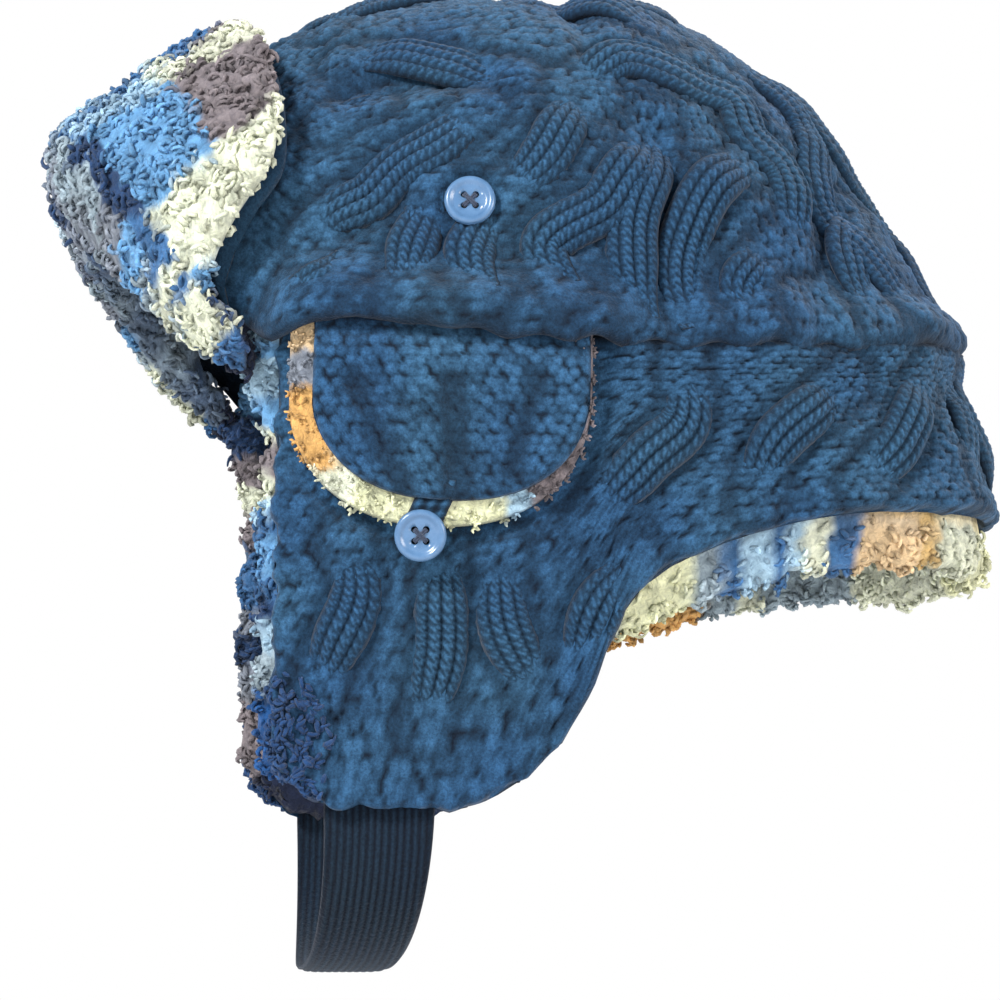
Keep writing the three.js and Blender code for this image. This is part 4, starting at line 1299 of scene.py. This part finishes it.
@cache
def cover_places(cover, columns, rows):
    """Angles and rings of a D-shaped cover: rows from the seam to its round lower edge."""
    front, back, straight, bottom = cover
    even = np.linspace(-1, 1, columns)
    share = 0.55 * np.sin(math.pi / 2 * even) + 0.45 * even
    y = (front + back) / 2 + (back - front) / 2 * share
    rounded = np.clip(1 - np.abs(share) ** COVER_ROUNDNESS, 0, 1) ** (1 / COVER_ROUNDNESS)
    top, low = seam_z(y) - 0.4, straight - (straight - bottom) * rounded
    z = top + (low - top) * spread(rows, 0.3)[:, None]
    return locate(np.broadcast_to(y, z.shape), z)


def cover_grid(cover, columns, rows, sign):
    angle, ring = cover_places(tuple(cover.values()), columns, rows)
    return sign * angle, ring


def cover_knit_shell(sign):
    body = Body()
    outer = cover_grid(COVER_INNER, 104, 66, sign)
    inner = cover_grid(COVER_INNER, 36, 18, sign)
    middle = sum(COVER_KNIT) / 2
    half = (COVER_KNIT[1] - COVER_KNIT[0]) / 2

    def outer_lift(point, angle, ring, rounded, away):
        y, z = point[..., 1], point[..., 2]
        bumps = purl_bumps(y / COVER_WALE, z / COURSE, 81)
        sway = 1.6 + 1.2 * noise(point, 12.0, 83) - fold_depth(point, COVER_FOLDS)
        tucked = smooth(0, 13, seam_z(y) - z)
        rise = half + (1.1 * bumps + sway) * tucked - 0.6 * (1 - tucked)
        return middle - 1.2 * (1 - tucked) + rise * rounded

    def outer_tint(point, angle, ring, away):
        # Painted shade: the tint darkens in the valleys between the cover's lobes.
        bumps = purl_bumps(point[..., 1] / COVER_WALE, point[..., 2] / COURSE, 81)
        return knit_tint(bumps * (1 - 0.3 * np.minimum(fold_depth(point, COVER_FOLDS), 2)), point)

    patch_shell(body, outer, inner, 2.4, outer_lift, layer(middle, -half), outer_tint, plain_tint(0.3))
    return body


def cover_lining_bodies(sign):
    body, curls = Body(), Body()
    outer = cover_grid(COVER_OUTER, 100, 40, sign)
    inner = cover_grid(COVER_OUTER, 36, 12, sign)
    middle = sum(COVER_LINING) / 2
    half = (COVER_LINING[1] - COVER_LINING[0]) / 2

    def outer_lift(point, angle, ring, rounded, away):
        shown = 1 - smooth(8, 12, away)
        return middle + (half + 1.5 * shown * pile(point, 91, 3.2)) * rounded

    def tint(point, angle, ring, away):
        return fleece_tint(cover_colour(point), pile(point, 91, 3.2), point, 92)

    sides = patch_shell(body, outer, inner, 2.0, outer_lift, layer(middle, -half), tint, tint)
    points, away, tints = sides[0]
    on_crescent = (away < 8) * (np.linspace(0, 1, len(points))[:, None] > 0.1)
    add_curls(curls, (points, on_crescent, tints), 360, 504, 3.2, 0.6, -sign)
    return body, curls


def cover_colour(point):
    """Bands of the cover's fleece, from its front corner down and round to the back."""
    y, z = point[..., 1], point[..., 2]
    wobble = 1.6 * noise(point, 6.0, 95) + 1.0 * noise(point, 2.5, 96)
    front = banded(z + wobble, ((-90, CREAM), (-50, ORANGE), (-26, SLATE), (-15, PEACH)))
    below = banded(y + wobble, ((-120, CREAM), (-88, PALE_YELLOW), (-45, ICE), (-38, BROWN)))
    return mix(front, below, smooth(-95, -88, y + wobble))


# Tabs, buttons and threads


def seat_on(place, sign):
    """A frame on the hat's side: axes that point sideways, up the side and out, and an origin on the knit."""
    angle, ring = locate(np.array([place[0]]), np.array([place[1]]))
    normal = base_normal(angle, ring)[0]
    origin = base_point(angle, ring)[0]
    upward = unit(np.array((0, 0, 1.0)) - normal * normal[2])
    sideways = np.cross(upward, normal)
    seat = np.column_stack([sideways, upward, normal])
    mirror = np.array((1.0 if sign > 0 else -1.0, 1, 1))
    return seat * mirror[:, None], origin * mirror


def placed(points, seat):
    axes, origin = seat
    return points @ axes.T + origin


def button_mesh(name, seat, standoff):
    """A four-hole button with a round rim and a dished face, turned on a lathe and then drilled."""
    radius = BUTTON_DIAMETER / 2
    profile = (
        (0, 0), (0.8, 0), (0.93, 0.12), (1.0, 0.4), (1.0, 0.62), (0.97, 0.85), (0.9, 0.98), (0.84, 1.0),
        (0.78, 0.96), (0.72, 0.84), (0.66, 0.74), (0.6, 0.7), (0.3, BUTTON_FACE), (0, BUTTON_FACE),
    )
    sides = 72
    turn = np.arange(sides) * 2 * math.pi / sides
    body = Body()
    rings = []
    for across, above in profile[1:-1]:
        circle = np.stack([np.cos(turn), np.sin(turn), 0 * turn], -1) * across * radius
        rings.append(circle + (0, 0, above * BUTTON_THICKNESS + standoff))
    grid = body.add(np.array(rings))
    body.quads(grid, closed=True)
    low = body.add(np.array([[0, 0, standoff]]))
    high = body.add(np.array([[0, 0, profile[-1][1] * BUTTON_THICKNESS + standoff]]))
    body.fan(low[0], grid[0])
    body.fan(high[0], grid[-1], flip=True)
    piece = make_mesh(name, body)
    for x, y in product((1, -1), (1, -1)):
        bpy.ops.mesh.primitive_cylinder_add(
            vertices=24,
            radius=HOLE_RADIUS * MM,
            depth=3 * BUTTON_THICKNESS * MM,
            location=(x * HOLE_OFFSET * MM, y * HOLE_OFFSET * MM, (standoff + 1) * MM),
        )
        drill = bpy.context.object
        cut = piece.modifiers.new("hole", "BOOLEAN")
        cut.operation, cut.object, cut.solver = "DIFFERENCE", drill, "EXACT"
        bpy.context.view_layer.objects.active = piece
        bpy.ops.object.modifier_apply(modifier=cut.name)
        bpy.data.objects.remove(drill)
    axes, origin = seat
    matrix = Matrix(axes.tolist()).to_4x4()
    matrix.translation = Vector(origin) * MM
    piece.data.transform(matrix)
    outwards(piece.data)
    return piece


def thread_mesh(name, seat, standoff):
    """Crossed stitches of doubled thread through a button's four holes."""
    body = Body()
    top = standoff + BUTTON_FACE * BUTTON_THICKNESS
    sides = np.arange(8) * math.pi / 4
    for turn, rise in ((math.pi / 4, 0.0), (-math.pi / 4, 0.35)):
        for shift in (-0.33, 0.33):
            reach = HOLE_OFFSET * math.sqrt(2)
            place = np.linspace(-1, 1, 33)
            across = np.clip(place * 1.25, -1, 1) * reach
            depth = np.clip((np.abs(place) - 0.78) / 0.22, 0, 1)
            height = (top + 0.3 + rise) * (1 - depth) + THREAD_END * depth
            line = np.stack([across * math.cos(turn), across * math.sin(turn), height], -1)
            line = line + shift * np.array((-math.sin(turn), math.cos(turn), 0))
            tangent = unit(np.gradient(line, axis=0))
            side = np.array((-math.sin(turn), math.cos(turn), 0.0))
            up = np.cross(tangent, side)
            twist = 1 + 0.16 * np.cos(2 * sides[None] - 9 * np.arange(33)[:, None] * 0.4)
            ring = side * np.cos(sides)[None, :, None] + up[:, None] * np.sin(sides)[None, :, None]
            tube = line[:, None] + THREAD_RADIUS * ring * twist[..., None]
            body.tubes(placed(tube, seat)[None], (0.4, 0.5, 0.5))
    return make_mesh(name, body)


def tab_body(sign):
    """The knit tab of an ear cover, which runs under the cover's button."""
    columns, rows = 22, 34
    across = np.linspace(-1, 1, columns)
    down = np.linspace(0, 1, rows)[:, None]
    root_y, half_width, lift = COVER_TAB["root_y"], COVER_TAB["half_width"], COVER_TAB["lift"]
    height = COVER_TAB["top"] - COVER_TAB["bottom"]
    z = COVER_TAB["top"] - height * down
    lean = root_y + (COVER_BUTTON[0] - root_y) * smooth(0, 0.7, down)
    width = half_width * np.sqrt(np.clip(1 - np.clip((down - 0.72) / 0.28, 0, 1) ** 2.5, 0.02, 1))
    y = lean + across * width
    angle, ring = locate(y, z + 0 * y)
    body = Body()
    wale = 0.5 + 0.5 * np.cos(np.linspace(-1, 1, columns) * 3 * math.pi)
    edge = pillow(np.minimum(1 - np.abs(across), 0.99) * half_width, 2.0) * pillow((1 - down) * height, 2.0)
    knit = 0.7 * wale + 0.3 * np.cos(2 * math.pi * z / COURSE)
    top = lift + (1.6 + 0.5 * knit) * edge
    low = lift - 1.3 * edge + 0 * top
    grids = []
    for rise, flip in ((top, False), (low, True)):
        # Painted shade: the tint follows the ribs' relief, darker in their grooves.
        grid = body.add(lifted(sign * angle, ring, rise), knit_tint(knit + 0 * rise, base_point(angle, ring)))
        body.quads(grid, flip=flip)
        grids.append(grid)
    first, second = (rim_of(grid) for grid in grids)
    body.zip(np.append(first, first[0]), np.append(second, second[0]))
    return body


# Chin strap

# Heights of the strap's ends inside the hem of the ear flaps
STRAP_ROOTS = (7.0, 4.5, 2.0)


def strap_frame():
    """Sections along the strap: centre, width axis, thickness axis and width."""
    axes, origin = seat_on(STRAP_END, 1)
    outward = axes[:, 2]
    end = origin - outward * KNIT_THICKNESS / 2
    end[2] = STRAP_END[1]
    end_yaw = math.atan2(outward[1], outward[0])
    turn = np.linspace(-math.pi / 2, math.pi / 2, 2001)

    def point(angle):
        across = np.sign(angle) * np.abs(np.sin(angle)) ** 0.77
        y = STRAP_MIDDLE_Y + (end[1] - STRAP_MIDDLE_Y) * np.abs(across) ** 1.5
        return np.stack([end[0] * across, y, end[2] - STRAP_DROP * np.cos(angle)], -1)

    path = point(turn)
    arc = np.concatenate([[0], np.cumsum(np.linalg.norm(np.diff(path, axis=0), axis=-1))])
    length = arc[-1]
    count = int(length / 1.1)
    at = np.linspace(0, length, count)
    turn = np.interp(at, arc, turn)
    centre = point(turn)
    share = np.abs(turn) / (math.pi / 2)
    yaw = -np.sign(turn) * end_yaw * share**2
    wide = np.stack([np.sin(yaw), np.cos(yaw), 0 * yaw], -1)
    along = unit(np.gradient(centre, axis=0))
    along[0], along[-1] = (0, 0, -1), (0, 0, 1)
    thick = unit(np.cross(along, wide))
    width = STRAP_MIDDLE_WIDTH + (STRAP_END_WIDTH - STRAP_MIDDLE_WIDTH) * share
    return centre, wide, thick, width, at, length


def strap_body():
    """A flat band of fine ribs that run along it, with soft rolled edges."""
    centre, wide, thick, width, at, length = strap_frame()
    body = Body()
    columns = 50
    across = np.linspace(-1, 1, columns)
    sections = []
    crests = []
    for face in (1, -1):
        rib = 0.5 + 0.5 * np.cos(across * width[:, None] / 2 * 2 * math.pi / 2.2)
        stitch = 0.5 + 0.5 * np.cos(2 * math.pi * (at[:, None] / 2.2 + 0.25 * np.sign(np.sin(across * 40))))
        rounded = np.clip(1 - across**6, 0, 1) ** 0.5
        rise = face * (STRAP_THICKNESS / 2 - 0.45 + (0.35 + 0.4 * stitch) * rib) * rounded
        grid = centre[:, None] + wide[:, None] * (across * width[:, None] / 2)[..., None]
        grid = grid + thick[:, None] * rise[..., None]
        # Painted shade: the tint darkens between the ribs and towards the rolled edges.
        crest = rib * rounded
        sections.append(grid if face > 0 else grid[:, ::-1][:, 1:-1])
        crests.append(crest if face > 0 else crest[:, ::-1][:, 1:-1])
    section = np.concatenate(sections, axis=1)
    crest = np.concatenate(crests, axis=1)
    rises = np.array(STRAP_ROOTS)[:, None, None] * (0, 0, 1.0)
    section = np.concatenate([section[:1] + rises, section, section[-1:] + rises[::-1]])
    crest = np.concatenate([crest[:1].repeat(len(rises), 0), crest, crest[-1:].repeat(len(rises), 0)])
    body.tubes(section[None], knit_tint(crest, section)[None])
    return body, length


# Materials


def new_material(name, roughness, sheen=0.0, sheen_tint=(1, 1, 1, 1), specular=0.3):
    material = bpy.data.materials.new(name)
    material.use_nodes = True
    shader = material.node_tree.nodes["Principled BSDF"]
    shader.inputs["Roughness"].default_value = roughness
    shader.inputs["Specular IOR Level"].default_value = specular
    shader.inputs["Sheen Weight"].default_value = sheen
    shader.inputs["Sheen Roughness"].default_value = 0.5
    shader.inputs["Sheen Tint"].default_value = sheen_tint
    return material, material.node_tree, shader


def add_node(tree, kind, **inputs):
    node = tree.nodes.new(kind)
    for name, value in inputs.items():
        node.inputs[name.replace("_", " ")].default_value = value
    return node


def noise_node(tree, coordinates, scale, detail=3.0, roughness=0.6):
    node = add_node(tree, "ShaderNodeTexNoise", Scale=scale, Detail=detail, Roughness=roughness)
    tree.links.new(coordinates, node.inputs["Vector"])
    return node


def object_place(tree):
    return tree.nodes.new("ShaderNodeTexCoord").outputs["Object"]


def bumped(tree, shader, layers):
    """Chains bump nodes from (height socket, strength, distance in metres) rows into the shader."""
    normal = None
    for height, strength, distance in layers:
        bump = add_node(tree, "ShaderNodeBump", Strength=strength, Distance=distance)
        tree.links.new(height, bump.inputs["Height"])
        if normal is not None:
            tree.links.new(normal, bump.inputs["Normal"])
        normal = bump.outputs["Normal"]
    tree.links.new(normal, shader.inputs["Normal"])


def ramp_node(tree, factor, *stops):
    ramp = tree.nodes.new("ShaderNodeValToRGB")
    elements = ramp.color_ramp.elements
    while len(elements) < len(stops):
        elements.new(0.5)
    for element, (position, colour) in zip(elements, stops):
        element.position = position
        element.color = (*colour, 1)
    tree.links.new(factor, ramp.inputs["Fac"])
    return ramp.outputs["Color"]


def mix_node(tree, factor, first, second, blend="MIX"):
    node = tree.nodes.new("ShaderNodeMix")
    node.data_type, node.blend_type = "RGBA", blend
    if isinstance(factor, float):
        node.inputs["Factor"].default_value = factor
    else:
        tree.links.new(factor, node.inputs["Factor"])
    tree.links.new(first, node.inputs["A"])
    tree.links.new(second, node.inputs["B"])
    return node.outputs["Result"]


def knit_material(name, dark, low, high):
    """Brushed wool-like yarn with painted shade between stitches, lighter on their crests, with a fine halo
    of fibres.
    """
    material, tree, shader = new_material(name, 0.92, 0.12, (0.72, 0.82, 1.0, 1), 0.12)
    place = object_place(tree)
    tint = tree.nodes.new("ShaderNodeVertexColor")
    tint.layer_name = "tint"
    parts = tree.nodes.new("ShaderNodeSeparateColor")
    tree.links.new(tint.outputs["Color"], parts.inputs["Color"])
    # Painted shade: the colour goes dark where the tint's crest is low, between stitches, in creases and
    # under edges.
    crest = ramp_node(tree, parts.outputs["Red"], (0.0, dark), (0.45, low), (1.0, high))
    patch = ramp_node(tree, parts.outputs["Green"], (0.25, (0.78, 0.84, 0.92)), (0.75, (1.12, 1.06, 1.0)))
    coloured = mix_node(tree, 1.0, crest, patch, "MULTIPLY")
    fibres = noise_node(tree, place, 1100.0, 5.0, 0.75)
    # Random fibre flecks, darker where the same noise sinks the bump: partly painted shade.
    flecks_and_fibre_shade = ramp_node(tree, fibres.outputs["Fac"], (0.32, (0.5, 0.5, 0.5)), (0.7, (1.55, 1.5, 1.42)))
    coloured = mix_node(tree, 1.0, coloured, flecks_and_fibre_shade, "MULTIPLY")
    tree.links.new(coloured, shader.inputs["Base Color"])
    yarn = noise_node(tree, place, 700.0, 3.0, 0.65)
    bumped(tree, shader, ((yarn.outputs["Fac"], 0.6, 0.0009), (fibres.outputs["Fac"], 0.5, 0.0004)))
    return material


def fleece_material(name):
    """Curly pile whose colour comes from the piece's plaid, darkened as painted shade where the curl bump
    sinks.
    """
    material, tree, shader = new_material(name, 0.95, 0.1, (0.95, 0.97, 1, 1), 0.12)
    place = object_place(tree)
    tint = tree.nodes.new("ShaderNodeVertexColor")
    tint.layer_name = "tint"
    curls = noise_node(tree, place, 420.0, 4.0, 0.62)
    curls.inputs["Distortion"].default_value = 1.2
    fibres = noise_node(tree, place, 1500.0, 3.0, 0.7)
    # Painted shade: the same noise that bumps the curls darkens the colour where they sink.
    shade = ramp_node(tree, curls.outputs["Fac"], (0.3, (0.7, 0.72, 0.76)), (0.66, (1.2, 1.2, 1.18)))
    coloured = mix_node(tree, 1.0, tint.outputs["Color"], shade, "MULTIPLY")
    tree.links.new(coloured, shader.inputs["Base Color"])
    bumped(tree, shader, ((curls.outputs["Fac"], 0.8, 0.0016), (fibres.outputs["Fac"], 0.5, 0.0005)))
    return material


def button_material():
    """Moulded blue plastic with a faint cloud in it and fine wear in its gloss."""
    material, tree, shader = new_material("button_blue", 0.22, 0.0, (1, 1, 1, 1), 0.5)
    place = object_place(tree)
    cloud = noise_node(tree, place, 260.0, 3.0, 0.5)
    colour = ramp_node(tree, cloud.outputs["Fac"], (0.3, (0.06, 0.135, 0.26)), (0.7, (0.085, 0.175, 0.32)))
    tree.links.new(colour, shader.inputs["Base Color"])
    wear = noise_node(tree, place, 2600.0, 4.0, 0.7)
    rough = tree.nodes.new("ShaderNodeMapRange")
    rough.inputs["To Min"].default_value, rough.inputs["To Max"].default_value = 0.16, 0.34
    tree.links.new(wear.outputs["Fac"], rough.inputs["Value"])
    tree.links.new(rough.outputs["Result"], shader.inputs["Roughness"])
    bumped(tree, shader, ((wear.outputs["Fac"], 0.08, 0.0001),))
    return material


def thread_material():
    material, tree, shader = new_material("thread_navy", 0.6, 0.2)
    place = object_place(tree)
    strands = noise_node(tree, place, 3000.0, 2.0, 0.5)
    colour = ramp_node(tree, strands.outputs["Fac"], (0.3, (0.008, 0.014, 0.03)), (0.7, (0.03, 0.05, 0.1)))
    tree.links.new(colour, shader.inputs["Base Color"])
    bumped(tree, shader, ((strands.outputs["Fac"], 0.5, 0.0002),))
    return material


def floor_material():
    material, tree, shader = new_material("floor_pale", 0.7, 0.0, (1, 1, 1, 1), 0.2)
    place = object_place(tree)
    grain = noise_node(tree, place, 3.0, 2.0, 0.5)
    colour = ramp_node(tree, grain.outputs["Fac"], (0.3, (0.86, 0.86, 0.86)), (0.7, (0.9, 0.9, 0.9)))
    tree.links.new(colour, shader.inputs["Base Color"])
    shader.inputs["Emission Color"].default_value = (1, 1, 1, 1)
    shader.inputs["Emission Strength"].default_value = 0.15
    return material


# Camera, lights and floor


def set_camera():
    forward, _, _, eye = camera_frame()
    data = bpy.data.cameras.new("camera")
    data.lens, data.sensor_width = CAMERA_LENS, CAMERA_SENSOR
    camera = bpy.data.objects.new("camera", data)
    bpy.context.scene.collection.objects.link(camera)
    camera.location = Vector(eye) * MM
    camera.rotation_euler = Vector(forward).to_track_quat("-Z", "Y").to_euler()
    bpy.context.scene.camera = camera


def area_light(name, place, size, power, colour=(1, 1, 1)):
    data = bpy.data.lights.new(name, "AREA")
    data.shape, data.size, data.energy, data.color = "DISK", size, power, colour
    light = bpy.data.objects.new(name, data)
    bpy.context.scene.collection.objects.link(light)
    light.location = place
    aim = Vector(CAMERA_TARGET) * MM - Vector(place)
    light.rotation_euler = aim.to_track_quat("-Z", "Y").to_euler()


FLOOR_RADIUS = 1.75
FLOOR_Z = -0.262


def set_stage():
    """A pale floor well below the hat, a soft white surround that is dimmer overhead, and three lamps."""
    bpy.ops.mesh.primitive_circle_add(
        vertices=96, radius=FLOOR_RADIUS, fill_type="NGON", location=(0, 0, FLOOR_Z)
    )
    floor = bpy.context.object
    floor.name = "floor"
    floor.data.materials.append(floor_material())
    world = bpy.data.worlds.new("studio")
    world.use_nodes = True
    tree = world.node_tree
    background = tree.nodes["Background"]
    direction = tree.nodes.new("ShaderNodeTexCoord").outputs["Generated"]
    parts = tree.nodes.new("ShaderNodeSeparateXYZ")
    tree.links.new(direction, parts.inputs["Vector"])
    sky = ramp_node(tree, parts.outputs["Z"], (0.3, (1, 1, 1)), (0.62, (0.2, 0.21, 0.23)))
    tree.links.new(sky, background.inputs["Color"])
    background.inputs["Strength"].default_value = 1.0
    bpy.context.scene.world = world
    bpy.context.scene.view_settings.view_transform = "Standard"
    area_light("key", (1.1, -1.15, 0.95), 0.4, 46, (1.0, 0.99, 0.97))
    area_light("rim", (-0.6, 0.9, 1.1), 0.8, 16, (1.0, 0.93, 0.87))
    area_light("back", (1.3, 1.5, 0.5), 0.8, 26, (1.0, 0.93, 0.87))


set_camera()
set_stage()

navy_knit = knit_material("knit_navy", (0.003, 0.0085, 0.019), (0.009, 0.033, 0.071), (0.027, 0.091, 0.195))
strap_knit = knit_material("knit_strap", (0.002, 0.004, 0.01), (0.004, 0.011, 0.022), (0.009, 0.022, 0.042))
fleece = fleece_material("fleece_plaid")
button_blue = button_material()
thread_navy = thread_material()

dress(make_mesh("crown_knit_ground", crown_knit_shell()), "navy_knit", navy_knit, "crown_knit")
dress(make_mesh("crown_knit_cables", cable_body("crown")), "navy_knit", navy_knit)
band_knit, edge_fluff = band_knit_shell()
dress(make_mesh("band_knit_ground", band_knit), "navy_knit", navy_knit, "band_knit")
dress(make_mesh("band_edge_fluff", edge_fluff), "plaid_fleece", fleece)
dress(make_mesh("band_knit_cables", cable_body("band")), "navy_knit", navy_knit)
dress(make_mesh("crown_fleece", crown_lining_shell()), "plaid_fleece", fleece, "crown_lining")
for piece, make_bodies, node in (
    ("band_fleece", band_lining_bodies, "band_lining"),
    ("flap_fleece", flap_lining_bodies, "front_flap_lining"),
):
    shell, curls = make_bodies()
    lining = dress(make_mesh(piece, shell), "plaid_fleece", fleece, node)
    pile_curls = dress(make_mesh(f"{piece}_curls", curls), "plaid_fleece", fleece)
flap_knit = dress(make_mesh("flap_knit", flap_knit_shell()), "navy_knit", navy_knit, "front_flap_knit")
flap_width, flap_height, flap_area = flap_cut()
for side, sign in (("left", 1), ("right", -1)):
    cover = make_mesh(f"cover_knit_{side}", cover_knit_shell(sign))
    dress(cover, "navy_knit", navy_knit, f"ear_cover_{side}")
    tab = dress(make_mesh(f"cover_tab_{side}", tab_body(sign)), "navy_knit", navy_knit)
    shell, curls = cover_lining_bodies(sign)
    lining = make_mesh(f"cover_fleece_{side}", shell)
    dress(lining, "cover_fleece", fleece, f"ear_cover_lining_{side}")
    pile_curls = dress(make_mesh(f"cover_fleece_{side}_curls", curls), "cover_fleece", fleece)
    for part, place, standoff in (
        ("crown", CROWN_BUTTON, CROWN_BUTTON_SEAT),
        ("cover", COVER_BUTTON, COVER_BUTTON_SEAT),
    ):
        seat = seat_on(place, sign)
        button = button_mesh(f"{part}_button_{side}_moulded", seat, standoff)
        dress(button, "blue_button", button_blue, f"{part}_button_{side}")
        thread = thread_mesh(f"{part}_thread_{side}_stitched", seat, standoff)
        dress(thread, "navy_thread", thread_navy, f"{part}_thread_{side}")
strap, strap_length = strap_body()
strap_piece = dress(make_mesh("chin_strap_ribbed", strap), "strap_knit", strap_knit, "chin_strap")
